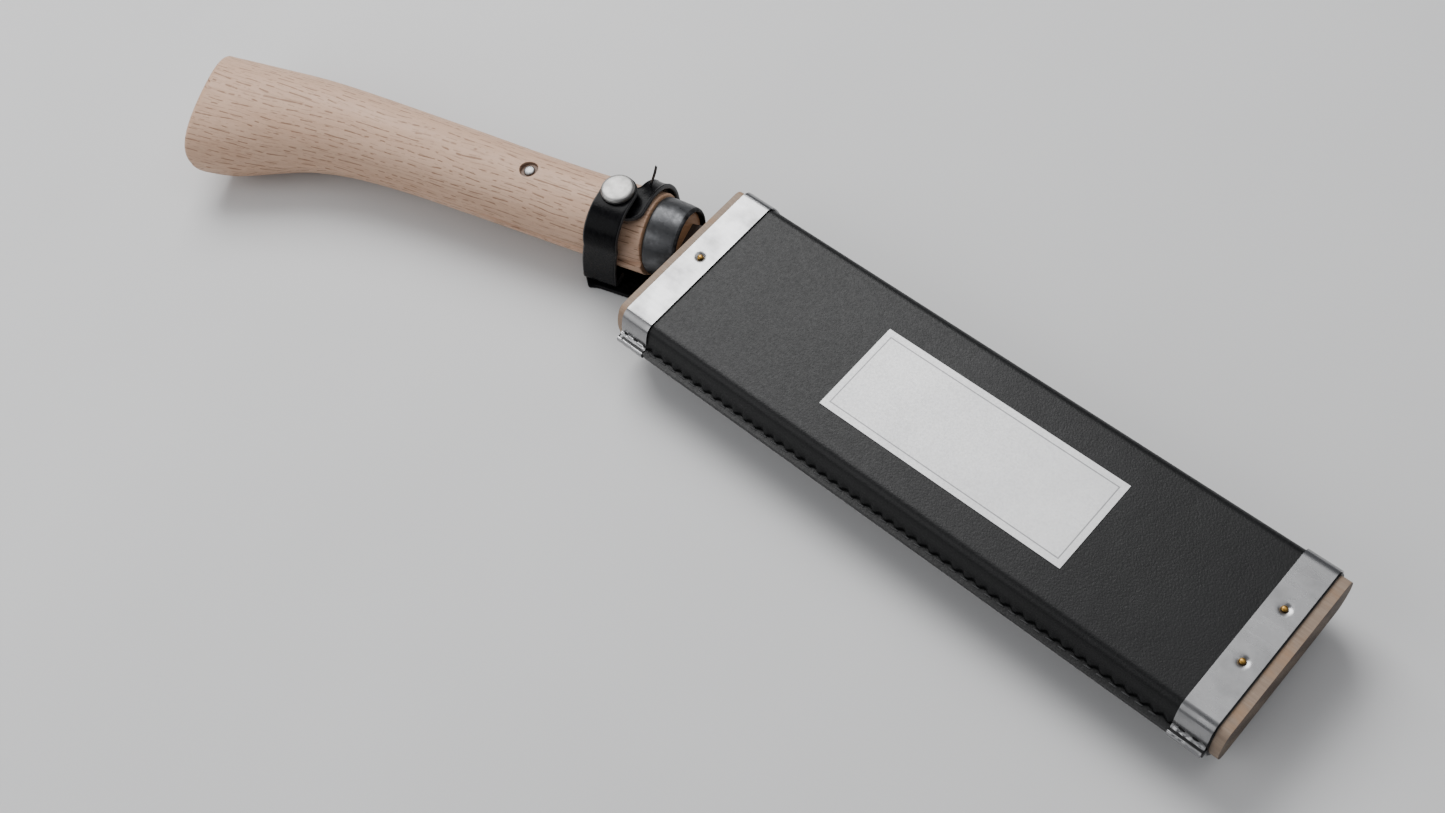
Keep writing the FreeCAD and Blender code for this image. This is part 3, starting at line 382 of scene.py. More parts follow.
def label_foil():
    """Matt silver foil with a thin plain frame line and a faint paper texture."""
    m = Nodes("label_foil")
    low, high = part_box("label_plate")
    centre = (low + high) / 2
    half = (high - low) / 2
    inset = 0.0021
    line = 0.00022

    def outside(axis):
        middle = getattr(centre, axis.lower())
        reach = getattr(half, axis.lower()) - inset
        away = m.maths("ABSOLUTE", m.minus(m.axis(axis), middle))
        return m.minus(away, reach)

    edge = m.maths("ABSOLUTE", m.maths("MAXIMUM", outside("X"), outside("Y")))
    frame_line = m.ramp(edge, line * 0.7, line, 1.0, 0.0)
    fibre = m.noise(m.place, 1500.0, 6.0, 0.7)
    patch = m.noise(m.place, 60.0, 4.0)
    colour = m.blend(m.ramp(patch, 0.3, 0.7), rgb(0.62, 0.62, 0.625), rgb(0.70, 0.70, 0.70))
    colour = m.blend(m.ramp(fibre, 0.45, 0.8, 0.0, 0.18), colour, rgb(0.30, 0.30, 0.31))
    colour = m.blend(m.times(frame_line, 0.7), colour, rgb(0.10, 0.10, 0.11))
    return m.finish(Base_Color=colour, Metallic=0.35, Roughness=m.ramp(fibre, 0.3, 0.7, 0.42, 0.55),
                    Normal=m.bump(fibre, 0.00003, 0.4))


def studio_floor():
    m = Nodes("studio_floor")
    cloud = m.noise(m.place, 6.0, 3.0)
    colour = m.blend(m.ramp(cloud, 0.3, 0.7), rgb(0.62, 0.62, 0.62), rgb(0.66, 0.66, 0.66))
    return m.finish(Base_Color=colour, Roughness=0.7)


# ------------------------------------------------------------------ mesh helpers

def in_scene(name, data):
    """A new object in the scene, with the mesh, lamp or camera given."""
    thing = bpy.data.objects.new(name, data)
    bpy.context.scene.collection.objects.link(thing)
    return thing


def evaluated_mesh(thing):
    """The mesh that an object's modifiers make of it. The object itself is removed."""
    graph = bpy.context.evaluated_depsgraph_get()
    made = bpy.data.meshes.new_from_object(thing.evaluated_get(graph))
    bpy.data.objects.remove(thing)
    made.materials.clear()
    return made


def new_piece(name, mesh, body, nodes, materials):
    """Adds a finished mesh as a piece. It stands for CAD nodes, and rides on a body if one is given."""
    piece = in_scene(name, mesh)
    for material in materials:
        mesh.materials.append(material)
    for face in mesh.polygons:
        face.use_smooth = True
    if nodes:
        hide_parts(*nodes)
    if body:
        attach(piece, body)
    return piece


def to_mesh(name, bm):
    bmesh.ops.recalc_face_normals(bm, faces=bm.faces)
    mesh = bpy.data.meshes.new(name)
    bm.to_mesh(mesh)
    bm.free()
    return mesh


def tube_of_rings(bm, rings, closed_ends=True, slots=None):
    """Joins rings of points into a tube. slots gives a material number for each ring side."""
    layers = [[bm.verts.new(point) for point in ring] for ring in rings]
    for first, second in zip(layers, layers[1:]):
        for number in range(len(first)):
            after = (number + 1) % len(first)
            face = bm.faces.new((first[number], first[after], second[after], second[number]))
            if slots:
                face.material_index = slots[number]
    if closed_ends:
        bm.faces.new(layers[0])
        bm.faces.new(layers[-1])


def revolve(bm, profile, matrix, segments):
    """Turns (radius, height) points about the matrix's Z axis. Radius 0 closes to a point."""
    layers = []
    for radius, height in profile:
        if radius == 0:
            layers.append([bm.verts.new(matrix @ Vector((0, 0, height * MM)))])
            continue
        ring = []
        for step in range(segments):
            angle = 2 * math.pi * step / segments
            ring.append(bm.verts.new(matrix @ Vector((radius * math.cos(angle) * MM,
                                                      radius * math.sin(angle) * MM, height * MM))))
        layers.append(ring)
    for first, second in zip(layers, layers[1:]):
        for step in range(segments):
            after = (step + 1) % segments
            corners = [first[step % len(first)], first[after % len(first)],
                       second[after % len(second)], second[step % len(second)]]
            bm.faces.new(list(dict.fromkeys(corners)))


def sharpen(mesh, degrees=35):
    """Marks edges sharper than the angle, so that smooth shading stops at them."""
    mesh.set_sharp_from_angle(angle=math.radians(degrees))


def dress(node, material, width, body, segments=3):
    """A copy of a CAD node with softened edges, which stands for it."""
    source = frame["nodes"][node]
    bm = bmesh.new()
    bm.from_mesh(source.data)
    bm.transform(source.matrix_world)
    bmesh.ops.remove_doubles(bm, verts=bm.verts, dist=1e-6)
    bmesh.ops.dissolve_limit(bm, angle_limit=math.radians(1.0), verts=bm.verts, edges=bm.edges)
    sharp = [edge for edge in bm.edges if len(edge.link_faces) == 2
             and edge.calc_face_angle(0) > math.radians(28)]
    bmesh.ops.bevel(bm, geom=sharp, offset=width, segments=segments, profile=0.6, affect="EDGES",
                    clamp_overlap=True)
    mesh = to_mesh(node + "_dressed", bm)
    piece = new_piece(node + "_piece", mesh, body, [node], [material])
    sharpen(mesh, 40)
    return piece


def arc_points(centre, radius, start, end, count):
    """Points of an arc in a section plane, angles in degrees."""
    points = []
    for step in range(count):
        angle = math.radians(start + (end - start) * step / (count - 1))
        points.append((centre[0] + radius * math.cos(angle), centre[1] + radius * math.sin(angle)))
    return points


def spline(before, first, second, after, t):
    """The Catmull-Rom curve between first and second, for numbers or points."""
    return 0.5 * (2 * first + (second - before) * t
                  + (2 * before - 5 * first + 4 * second - after) * t * t
                  + (3 * first - before - 3 * second + after) * t ** 3)


def smooth_path(points, steps):
    """A Catmull-Rom curve through points, with steps points for each stretch."""
    points = [Vector(point) for point in points]
    ends = [points[0] * 2 - points[1]] + points + [points[-1] * 2 - points[-2]]
    path = []
    for number in range(1, len(ends) - 2):
        path += [spline(*ends[number - 1:number + 3], step / steps) for step in range(steps)]
    path.append(points[-1])
    return path


def measure(node, direction):
    """How far a CAD node reaches along a direction: its least and greatest distance."""
    values = [direction.dot(vertex.co) for vertex in frame["nodes"][node].data.vertices]
    return min(values), max(values)


FERRULE_TURN = math.radians(17.5)


def ferrule_frame():
    """A frame in the middle of the ferrule's back end, whose Z runs along the ferrule."""
    axis = Vector((math.cos(FERRULE_TURN), math.sin(FERRULE_TURN), 0))
    across = Vector((-math.sin(FERRULE_TURN), math.cos(FERRULE_TURN), 0))
    sides = measure("ferrule", across)
    place = axis * measure("ferrule", axis)[0] + across * (sides[0] + sides[1]) / 2
    matrix = Matrix((across, Vector((0, 0, 1)), axis)).transposed().to_4x4()
    matrix.translation = Vector((place.x, place.y, MIDDLE))
    return matrix


def section_outline(node, x, spacing):
    """The outer outline of a CAD node cut square to X, as evenly spaced (y, z) points."""
    bm = bmesh.new()
    bm.from_mesh(frame["nodes"][node].data)
    bmesh.ops.remove_doubles(bm, verts=bm.verts, dist=1e-6)
    parts = bm.verts[:] + bm.edges[:] + bm.faces[:]
    made = bmesh.ops.bisect_plane(bm, geom=parts, plane_co=(x, 0, 0), plane_no=(1, 0, 0))["geom_cut"]
    links = {}
    for edge in [part for part in made if isinstance(part, bmesh.types.BMEdge)]:
        for one, other in (edge.verts, reversed(edge.verts)):
            links.setdefault(one, []).append(other)
    start = min(links, key=lambda vertex: vertex.co.y)
    loop = [start]
    before, here = None, start
    while True:
        choice = [vertex for vertex in links[here] if vertex is not before]
        before, here = here, choice[0]
        if here is start:
            break
        loop.append(here)
    points = [Vector((vertex.co.y, vertex.co.z)) for vertex in loop]
    bm.free()
    if sum(a.x * b.y - b.x * a.y for a, b in zip(points, points[1:] + points[:1])) < 0:
        points.reverse()
    return resample(points, spacing)


def resample(points, spacing):
    """Evenly spaced points on a closed outline, keeping its corners."""
    result = []
    for first, second in zip(points, points[1:] + points[:1]):
        steps = max(1, round((second - first).length / spacing))
        result += [first.lerp(second, step / steps) for step in range(steps)]
    return result


def sleeve(name, outline, inset, stations, shape, nodes, material):
    """A thin sleeve round the sheath. shape(x, y, z) moves each outer point."""
    bm = bmesh.new()
    centre = Vector((0, MIDDLE))
    inner = []
    for point in outline:
        near = Vector((max(-SHEATH_HALF, min(SHEATH_HALF, point.x)), point.y))
        toward = Vector((centre.x - near.x, centre.y - near.y))
        flat = abs(near.x) < SHEATH_HALF * 0.86
        step = Vector((0, math.copysign(1, toward.y))) if flat else toward.normalized()
        inner.append(near + step * inset)
    rings = [[Vector((stations[0], y, z)) for y, z in inner]]
    for x in stations:
        rings.append([shape(Vector((x, y, z))) for y, z in outline])
    rings.append([Vector((stations[-1], y, z)) for y, z in inner])
    tube_of_rings(bm, rings, closed_ends=False)
    mesh = to_mesh(name, bm)
    piece = new_piece(name, mesh, "sheath", nodes, [material])
    sharpen(mesh, 42)
    return piece


def along_steps(start, end, spacing, rim=0.00015):
    """Stations along a sleeve, with one close to each end for a crisp rim."""
    count = max(2, round((end - start) / spacing))
    middle = [start + rim + (end - start - 2 * rim) * step / count for step in range(count + 1)]
    return [start] + middle + [end]


# ------------------------------------------------------------------ sheath

def make_sheath_wood():
    """The two carved halves, softened at their edges, with end grain at both ends."""
    wood, ends = sheath_wood(), sheath_end_grain_and_shade()
    for node in ("sheath_wood_front", "sheath_wood_back"):
        piece = dress(node, wood, 0.3 * MM, "sheath")
        piece.data.materials.append(ends)
        for face in piece.data.polygons:
            if abs(face.normal.x) > 0.75:
                face.material_index = 1


STITCH_PITCH = 3.9 * MM
SCALLOP_DEEP = 1.1          # how far the cover bulges between two stitches, in millimetres
SCALLOP_TALL = 1.5          # and how far up and
SCALLOP_WIDE = 1.2          # out the bulge reaches from the seam's root


def make_cover():
    """The sleeve, pinched into scallops by the stitches at the root of its seam."""
    low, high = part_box("sheath_cover")
    outline = section_outline("sheath_cover", (low.x + high.x) / 2, 0.6 * MM)
    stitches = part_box("seam_thread")
    flange_top = stitches[1].z

    def shape(point):
        wave = abs(math.sin(math.pi * (point.x - stitches[0].x) / STITCH_PITCH))
        near_side = point.y < -SHEATH_HALF * 0.93
        if near_side:
            away = abs(point.z - flange_top - 0.5 * MM) / (SCALLOP_TALL * MM)
            root = abs(point.y + SHEATH_HALF) / (SCALLOP_WIDE * MM)
            pull = max(0.0, 1 - away) * max(0.0, 1 - root)
            point.y -= SCALLOP_DEEP * MM * pull * wave
        sag = noise.noise(Vector((point.x * 28, point.y * 28, 3)))
        if abs(point.y) < SHEATH_HALF * 0.8:
            point.z -= 0.10 * MM * (0.5 + 0.5 * sag) * math.copysign(1, point.z - MIDDLE)
        return point

    steps = along_steps(low.x, high.x, 0.65 * MM)
    piece = sleeve("cover_piece", outline, 0.6 * MM, steps, shape, ["sheath_cover"],
                   black_cover())


def capsule(bm, start, end, radius, segments=8, lift=0.0, up=Vector((0, 0, 1))):
    """A short round-ended bar between two points, lifted in its middle."""
    axis = (end - start).normalized()
    side = axis.cross(up).normalized()
    top = side.cross(axis).normalized()
    rings = []
    for along, share in ((0, 0.25), (0.06, 0.75), (0.2, 1), (0.5, 1), (0.8, 1), (0.94, 0.75), (1, 0.25)):
        centre = start.lerp(end, along) + top * lift * math.sin(math.pi * along)
        ring = []
        for step in range(segments):
            angle = 2 * math.pi * step / segments
            ring.append(centre + (side * math.cos(angle) + top * math.sin(angle)) * radius * share)
        rings.append(ring)
    tube_of_rings(bm, rings)


def make_stitches():
    """The thread's short runs on both faces of the seam."""
    low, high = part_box("seam_thread")
    side = (low.y + high.y) / 2
    radius = 0.28 * MM
    count = round((high.x - low.x) / STITCH_PITCH)
    bm = bmesh.new()
    for number in range(count):
        x = low.x + number * STITCH_PITCH
        for z, way in ((high.z, 1), (low.z, -1)):
            height = z - way * radius
            start = Vector((x + 0.4 * MM, side, height - way * 0.1 * MM))
            end = Vector((x + STITCH_PITCH - 0.9 * MM, side + 0.12 * MM, height - way * 0.1 * MM))
            capsule(bm, start, end, radius, lift=0.08 * MM, up=Vector((0, 0, way)))
    mesh = to_mesh("stitches", bm)
    new_piece("stitches_piece", mesh, "sheath", ["seam_thread"], [waxed_thread()])


def nail_places(node):
    """Middle points of the separate nails of a node, by their heads on the front face."""
    found = []
    for vertex in frame["nodes"][node].data.vertices:
        here = Vector((vertex.co.x, vertex.co.y))
        group = [item for item in found if (item[0] - here).length < 4 * MM]
        if group:
            group[0][1].append(here)
        else:
            found.append([here, [here]])
    places = []
    for _, points in found:
        xs = [point.x for point in points]
        ys = [point.y for point in points]
        places.append(Vector(((min(xs) + max(xs)) / 2, (min(ys) + max(ys)) / 2)))
    return places


# Half height of a band's doubled hem, by the distance out from the sheath's side, in millimetres.
HEM = ((0.0, 1.50), (0.35, 1.42), (0.7, 1.0), (1.05, 0.72), (1.4, 1.05), (1.75, 1.15), (2.1, 0.95),
       (2.3, 0.55))


DIMPLE_RADIUS = 1.45        # the dent round each nail, in millimetres
DIMPLE_DEEP = 0.48


def hem_height(out):
    """The hem's half height at a distance out: two folded crests with a valley between them."""
    for (near, low), (far, high) in zip(HEM, HEM[1:]):
        if out <= far:
            t = max(0.0, (out - near) / (far - near))
            t = t * t * (3 - 2 * t)
            return low + (high - low) * t
    return HEM[-1][1]


def make_band(node, nails, back_too):
    """A folded sheet band, dimpled round its nails, with a doubled hem over the seam."""
    low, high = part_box(node)
    outline = section_outline(node, low.x + 1.6 * MM, 0.25 * MM)
    places = nail_places(nails)
    hem_start = SHEATH_HALF + 0.7 * MM
    seam_low, seam_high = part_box("seam_thread")
    hem_middle = (seam_low.z + seam_high.z) / 2

    def shape(point):
        flat = abs(point.y) < SHEATH_HALF * 0.85
        facing = math.copysign(1, point.z - MIDDLE)
        if flat and (back_too or facing > 0):
            for place in places:
                away = (Vector((point.x, point.y)) - place).length / (DIMPLE_RADIUS * MM)
                point.z -= DIMPLE_DEEP * MM * math.exp(-away ** 3) * facing
        if flat:
            dent = noise.noise(Vector((point.x * 90, point.y * 90, low.x * 40)))
            point.z -= 0.04 * MM * (0.5 + 0.5 * dent) * facing
        out = (-point.y - hem_start) / MM
        if out > 0:
            crinkle = noise.noise(Vector((point.x * 650, point.y * 500, 0)))
            share = (point.z - hem_middle) / (1.5 * MM)
            point.z = hem_middle + share * hem_height(out) * (1 - 0.14 * (crinkle + 1)) * MM
            point.y += 0.14 * MM * (0.5 + 0.5 * crinkle)
        return point

    steps = along_steps(low.x, high.x, 0.35 * MM, 0.08 * MM)
    sleeve(node + "_piece", outline, 0.45 * MM, steps, shape, [node], BAND_METAL)


def make_nails():
    brass = bright_metal("nail_brass", rgb(0.38, 0.22, 0.055), (500, 500, 500), 0.3)
    profile = [(0.4, -0.9), (0.45, -0.25), (0.8, -0.2), (0.9, -0.02), (0.84, 0.16), (0.62, 0.31),
               (0.33, 0.41), (0, 0.44)]
    for node, back_too in (("mouth_band_nail", False), ("tip_band_nails", True)):
        low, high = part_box(node)
        bm = bmesh.new()
        for place in nail_places(node):
            top = Matrix.Translation((place.x, place.y, high.z - 0.5 * MM))
            revolve(bm, profile, top, 40)
            if back_too:
                under = Matrix.Translation((place.x, place.y, low.z + 0.5 * MM))
                revolve(bm, profile, under @ Matrix.Rotation(math.pi, 4, "X"), 40)
        new_piece(node + "_piece", to_mesh(node, bm), "sheath", [node], [brass])


def make_label():
    dress("label_plate", label_foil(), 0.05 * MM, "sheath", 1)


# ------------------------------------------------------------------ leather strips

STRIP_FACE = 0              # material numbers of a strip's two faces and of its cut edges
STRIP_EDGE = 1
STRIP_ACROSS = 10           # steps across a strip's face
CORNER_STEPS = 4            # points round each of its corners


def strip(bm, stations, thick, crown=0.0):
    """A leather strip. Each station is (left point, right point, outward normal)."""
    half = thick / 2
    corner_in = [STRIP_FACE] + [STRIP_EDGE] * 3
    corner_out = [STRIP_EDGE] * 3 + [STRIP_FACE]
    face = [STRIP_FACE] * (STRIP_ACROSS - 1)
    slots = face + corner_in + corner_out + face + corner_in + corner_out
    rings = []
    for left, right, normal in stations:
        width = (right - left).length
        way = (right - left).normalized()
        reach = min(thick * 0.36, width * 0.3)
        ring = []

        def corner(at, side, up, steps):
            """Rounds one corner. side and up are 1 or -1, for the right side and the outer face."""
            centre = at - way * side * reach + normal * up * (half - reach)
            for step in steps:
                angle = math.radians(30 * step)
                out = way * side * math.sin(angle) + normal * up * math.cos(angle)
                ring.append(centre + out * reach)

        ahead = range(CORNER_STEPS)
        for step in range(1, STRIP_ACROSS):
            share = step / STRIP_ACROSS
            swell = crown * math.sin(math.pi * share)
            ring.append(left.lerp(right, share) + normal * (half + swell))
        corner(right, 1, 1, ahead)
        corner(right, 1, -1, reversed(ahead))
        for step in range(STRIP_ACROSS - 1, 0, -1):
            ring.append(left.lerp(right, step / STRIP_ACROSS) - normal * half)
        corner(left, -1, -1, ahead)
        corner(left, -1, 1, reversed(ahead))
        rings.append(ring)
    tube_of_rings(bm, rings, slots=slots)


def strip_piece(name, stations, thick, body, nodes, crown=0.0):
    """A finished strip of leather with a raw cut edge. Thicknesses are in millimetres."""
    bm = bmesh.new()
    strip(bm, stations, thick * MM, crown=crown * MM)
    mesh = to_mesh(name.removesuffix("_piece"), bm)
    sharpen(mesh, 60)
    return new_piece(name, mesh, body, nodes, [LEATHER, CUT_EDGE_AND_HIGHLIGHT])


def path_stations(path, left, right, place):
    """Stations of a strip along a path in a plane. place(a, b, w) puts a point into the row frame."""
    lengths = [0.0]
    for first, second in zip(path, path[1:]):
        lengths.append(lengths[-1] + math.dist(first, second))
    stations = []
    for number, (a, b) in enumerate(path):
        before = path[max(0, number - 1)]
        after = path[min(len(path) - 1, number + 1)]
        along = Vector((after[0] - before[0], after[1] - before[1])).normalized()
        normal_a, normal_b = -along.y, along.x
        share = lengths[number]
        low, high = left(share), right(share)
        origin = place(a, b, 0)
        normal = (place(a + normal_a, b + normal_b, 0) - origin).normalized()
        stations.append((place(a, b, low), place(a, b, high), normal))
    return stations


def in_strap(across, height, along):
    return strap_point(along, across, height)


STRAP_LEATHER = 1.5         # thickness of the strap
ARM_HALF = 5.75             # half the near arm's width, and the radius of the flap's round end
LEAN = 5.5                  # how far the near arm's foot is set back along the handle
FLAP_START = -4.4           # where the flap runs level, across the strap from the snap
FLAP_HEIGHT = 32.1          # height of the flap's middle layer
FLAP_STEPS = 36


def near_arm_path():
    """The near arm's middle line: its foot, its rise beside the handle, and its bend over it."""
    foot = [(-9.0, 2.62), (-10.5, 2.6)] + arc_points((-12.1, 4.65), 2.05, -90, -180, 8)
    rise = [(-14.15, height) for height in (6.5, 8.5, 10.5, 12.5, 14.5, 16.5, 18.5, 20.5)]
    bend = arc_points((-4.4, 22.35), 9.75, 180, 90, 26)
    return foot, rise, bend


def make_near_arm():
    foot, rise, bend = near_arm_path()

    def lean(height):
        """How far the arm is set back along the handle: most at its foot, as in the frame."""
        t = max(0.0, min(1.0, (height - 2.0) / 20.3))
        bow = max(0.0, min(1.0, (height - 2.0) / 29.0))
        return -LEAN * (1 - t) - 0.9 * math.sin(math.pi * bow)

    def leaning(path):
        stations = []
        upright = path_stations(path, lambda at: -ARM_HALF, lambda at: ARM_HALF, in_strap)
        for (_, height), (left, right, normal) in zip(path, upright):
            shift = STRAP_AXIS * lean(height) * MM
            stations.append((left + shift, right + shift, normal))
        return stations

    piece = strip_piece("near_arm_foot", leaning(foot + rise[:4]), STRAP_LEATHER, None, [])
    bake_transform(piece)

    end = []
    for step in range(1, FLAP_STEPS + 1):
        share = 1 - (1 - step / FLAP_STEPS) ** 1.6
        v = FLAP_START + (ARM_HALF - FLAP_START) * share
        width = ARM_HALF if v < 0 else math.sqrt(max(0.02, ARM_HALF ** 2 - v ** 2))
        end.append((strap_point(-width, v, FLAP_HEIGHT), strap_point(width, v, FLAP_HEIGHT),
                    Vector((0, 0, 1))))
    piece = strip_piece("near_arm_flap", leaning(rise[3:] + bend) + end, STRAP_LEATHER, None,
                        ["strap_near_arm", "strap_flap"])
    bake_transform(piece)


def make_far_arm():
    """The far arm: up behind the handle, over it, and widened into a plate under the snap."""
    foot = [(9.6, 2.62), (11.4, 2.6)] + arc_points((13.1, 4.65), 2.05, -90, 0, 8)
    rise = [(15.15, height) for height in (6, 7.5, 9, 10.5, 12, 13.5, 15)]
    bend = arc_points((2.1, 16.0), 13.05, 0, 90, 34)
    over = [(2.1 - 8.6 * step / 26, 29.05) for step in range(1, 27)]
    path = foot + rise + bend + over

    stations = []
    last = len(path) - 1
    for number, (v, z) in enumerate(path):
        before, after = path[max(0, number - 1)], path[min(last, number + 1)]
        along = Vector((after[0] - before[0], after[1] - before[1])).normalized()
        normal = (STRAP_ACROSS * along.y + Vector((0, 0, -along.x))).normalized()
        on_top = z > 25
        widen = max(0.0, min(1.0, (6.5 - v) / 7.5)) if on_top else 0.0
        widen = widen * widen * (3 - 2 * widen)
        low = 3.4 - 8.1 * widen
        high = 9.2
        end = -6.5
        if v < end + 4.2 and on_top:
            t = (v - end) / 4.2
            curve = 1 - math.sqrt(max(0.0, 1 - (1 - t) ** 2))
            low += 3.4 * curve
            high -= 5.6 * curve
        stations.append((strap_point(low, v, z), strap_point(high, v, z), normal))
    piece = strip_piece("far_arm_piece", stations, STRAP_LEATHER, None, ["strap_far_arm"], crown=-0.3)
    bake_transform(piece)


BASE_FREE_END = -13.35      # where the base ends, along the strap's frame
BASE_SIDE = 15.5            # half its width there
BASE_ROUND = 8.5            # radius of its two free corners


def make_strap_base():
    """The strap's base: a soft plate whose free end curls up, and its ramp to the sheath."""
    piece = in_scene("strap_base_solid", frame["nodes"]["strap_base"].data.copy())
    soften = piece.modifiers.new("soften", "REMESH")
    soften.mode = "VOXEL"
    soften.voxel_size = 0.38 * MM
    relax = piece.modifiers.new("relax", "SMOOTH")
    relax.factor = 0.6
    relax.iterations = 4
    made = evaluated_mesh(piece)
    for vertex in made.vertices:
        offset = vertex.co - Vector((SNAP.x, SNAP.y, 0))
        along = offset.dot(STRAP_AXIS) / MM
        across = offset.dot(STRAP_ACROSS) / MM
        inward = BASE_FREE_END + BASE_ROUND - along
        outward = abs(across) - (BASE_SIDE - BASE_ROUND)
        if inward > 0 and outward > 0 and offset.z < 2.5 * MM:
            reach = math.hypot(inward, outward)
            edge = min(BASE_ROUND / max(inward, outward), (2 * BASE_ROUND - 4.0) / (inward + outward))
            rounding = BASE_ROUND / (edge * reach) - 1
            vertex.co += STRAP_AXIS * (-inward * rounding) * MM
            vertex.co += STRAP_ACROSS * math.copysign(outward * rounding, across) * MM
        if along < -6.0:
            vertex.co.z += 0.02 * (-6.0 - along) ** 2 * MM
    new_piece("strap_base_piece", made, "sheath", ["strap_base"], [LEATHER])


LOOP_LEATHER = 2.0          # thickness of the belt loop


def make_belt_loop():
    """A leather strip across the back that a belt passes through."""
    low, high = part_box("belt_loop")
    top = (high.z - 1.0 * MM) / MM
    bottom = (low.z + 1.0 * MM) / MM
    start, end = low.x / MM, high.x / MM
    half = high.y / MM
    tab, ramp = 12.0, 6.0
    key = [(start, top), (start + tab - 2, top), (start + tab + 0.6, top - 0.35),
           (start + tab + ramp / 2, (top + bottom) / 2), (start + tab + ramp - 0.6, bottom + 0.35),
           (start + tab + ramp + 2, bottom)]
    mirrored = [(start + end - x, z) for x, z in reversed(key)]
    path = [(point.x, point.y) for point in smooth_path(key + mirrored, 10)]
    path = [(x, max(bottom, min(top, z))) for x, z in path]

    def place(x, z, y):
        return Vector((x, y, z)) * MM

    length = sum(math.dist(a, b) for a, b in zip(path, path[1:]))

    def width(at):
        from_end = min(at, length - at)
        corner = 3.0
        if from_end >= corner:
            return half
        return half - corner + math.sqrt(max(0.05, corner ** 2 - (corner - from_end) ** 2))

    stations = path_stations(path, lambda at: -width(at), width, place)
    strip_piece("belt_loop_piece", stations, LOOP_LEATHER, "sheath", ["belt_loop"])


def make_rivets():
    brass = bright_metal("rivet_brass", rgb(0.62, 0.42, 0.16), (400, 400, 400), 0.26)
    for node in ("belt_loop_rivets", "strap_rivets"):
        dress(node, brass, 0.25 * MM, "sheath")


# ------------------------------------------------------------------ snap and thread tail

def make_snap():
    low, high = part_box("snap_cap")
    tall = (high.z - low.z) / MM
    radius = (high.x - low.x) / 2 / MM
    base = Matrix.Translation((SNAP.x, SNAP.y, high.z - 2.1 * MM))
    profile = [(0, 2.1), (1.5, 2.09), (3.0, 2.03), (4.0, 1.93), (4.5, 1.83), (4.8, 1.68), (4.98, 1.45),
               (5.06, 1.15), (radius, 0.8), (radius, 0.4), (5.0, 0.15), (4.8, 0.03), (4.5, 0.0), (1.3, 0.0)]
    profile += [(1.3, 2.1 - tall), (0, 2.1 - tall)]
    bm = bmesh.new()
    revolve(bm, profile, base, 128)
    mesh = to_mesh("snap_cap", bm)
    new_piece("snap_cap_piece", mesh, "flap", ["snap_cap"], [SNAP_METAL])
    sharpen(mesh, 50)
    dress("snap_socket", SNAP_METAL, 0.12 * MM, "flap", 2)
    dress("snap_stud", SNAP_METAL, 0.12 * MM, "far_arm", 2)


TAIL_STEPS = 16
TAIL_ROOT = 0.33            # how much of the tail's length again is sunk into the leather


def make_thread_tail():
    """Two strands of heavy thread that stand up from the far arm."""
    low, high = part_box("thread_tail")
    lean = Vector((STRAP_AXIS * 0.28 + STRAP_ACROSS * 0.24 + Vector((0, 0, 0.93)))).normalized()
    foot = strap_point(6.4, 8.4, 0)
    foot.z = low.z + 0.3 * MM
    length = (high.z - foot.z - 0.35 * MM) / lean.z
    side = lean.cross(Vector((0, 0, 1))).normalized()
    other = lean.cross(side)
    bm = bmesh.new()
    for way, share in ((1, 1.0), (-1, 0.93)):
        rings = []
        for step in range(TAIL_STEPS + 1):
            at = step / TAIL_STEPS * (1 + TAIL_ROOT) - TAIL_ROOT
            centre = foot + lean * length * share * at + side * way * (0.32 + 0.1 * at) * MM
            centre += STRAP_AXIS * 0.3 * MM * math.sin(math.pi * max(0.0, at)) * (0.6 if way > 0 else 0.3)
            radius = 0.22 * MM * (0.35 if step in (0, TAIL_STEPS) else 1)
            ring = []
            for turn in range(12):
                angle = turn * math.pi / 6
                ring.append(centre + (side * math.cos(angle) + other * math.sin(angle)) * radius)
            rings.append(ring)
        tube_of_rings(bm, rings)
    mesh = to_mesh("thread_tail", bm)
    new_piece("thread_tail_piece", mesh, "far_arm", ["thread_tail"], [waxed_tail()])


def waxed_tail():
    """Hard waxed thread ends, which shine."""
    m = Nodes("waxed_tail")
    twist = m.noise(m.place, 1800.0, 3.0)
    colour = m.blend(twist, rgb(0.008, 0.008, 0.009), rgb(0.03, 0.03, 0.032))
    return m.finish(Base_Color=colour, Roughness=m.ramp(twist, 0.3, 0.7, 0.16, 0.3),
                    Normal=m.bump(twist, 0.00005, 0.4))


# ------------------------------------------------------------------ knife

# Middle line of the grip: x, y, turn in degrees, half width, half depth, in millimetres.
GRIP = [(-14.7, 3.2, 17.0, 12.8, 12.5), (-38.0, -3.6, 15.5, 12.6, 12.2), (-60.0, -9.4, 14.5, 12.6, 12.3),
        (-80.0, -14.5, 14.7, 12.9, 12.4), (-100.0, -19.8, 15.6, 13.2, 12.6),
        (-120.0, -25.8, 19.0, 14.2, 13.0), (-136.0, -32.0, 24.0, 16.0, 13.7),
        (-150.8, -39.6, 27.0, 18.4, 14.4), (-161.6, -45.3, 28.0, 20.2, 14.8),
        (-171.0, -50.0, 27.5, 21.1, 15.1)]
BUTT_ROUND = 1.4
BUTT_DOME = 24.0            # radius of the butt's end, from front to back
BUTT_CROWN = 0.6            # how far the end's middle bulges, and its sides draw in
BUTT_CUT = 2.5              # how much further its lower near quarter draws in
DOME_FADE = 14.0            # how far ahead of the butt the rings still follow its dome
BUTT_X = GRIP[-1][0]
TENON_END = 9.0             # the tenon's end, inside the ferrule, from the shoulder
GRIP_SIDES = 288
FLAT_START = -73.8          # X where the whittled flat on the grip's near side begins
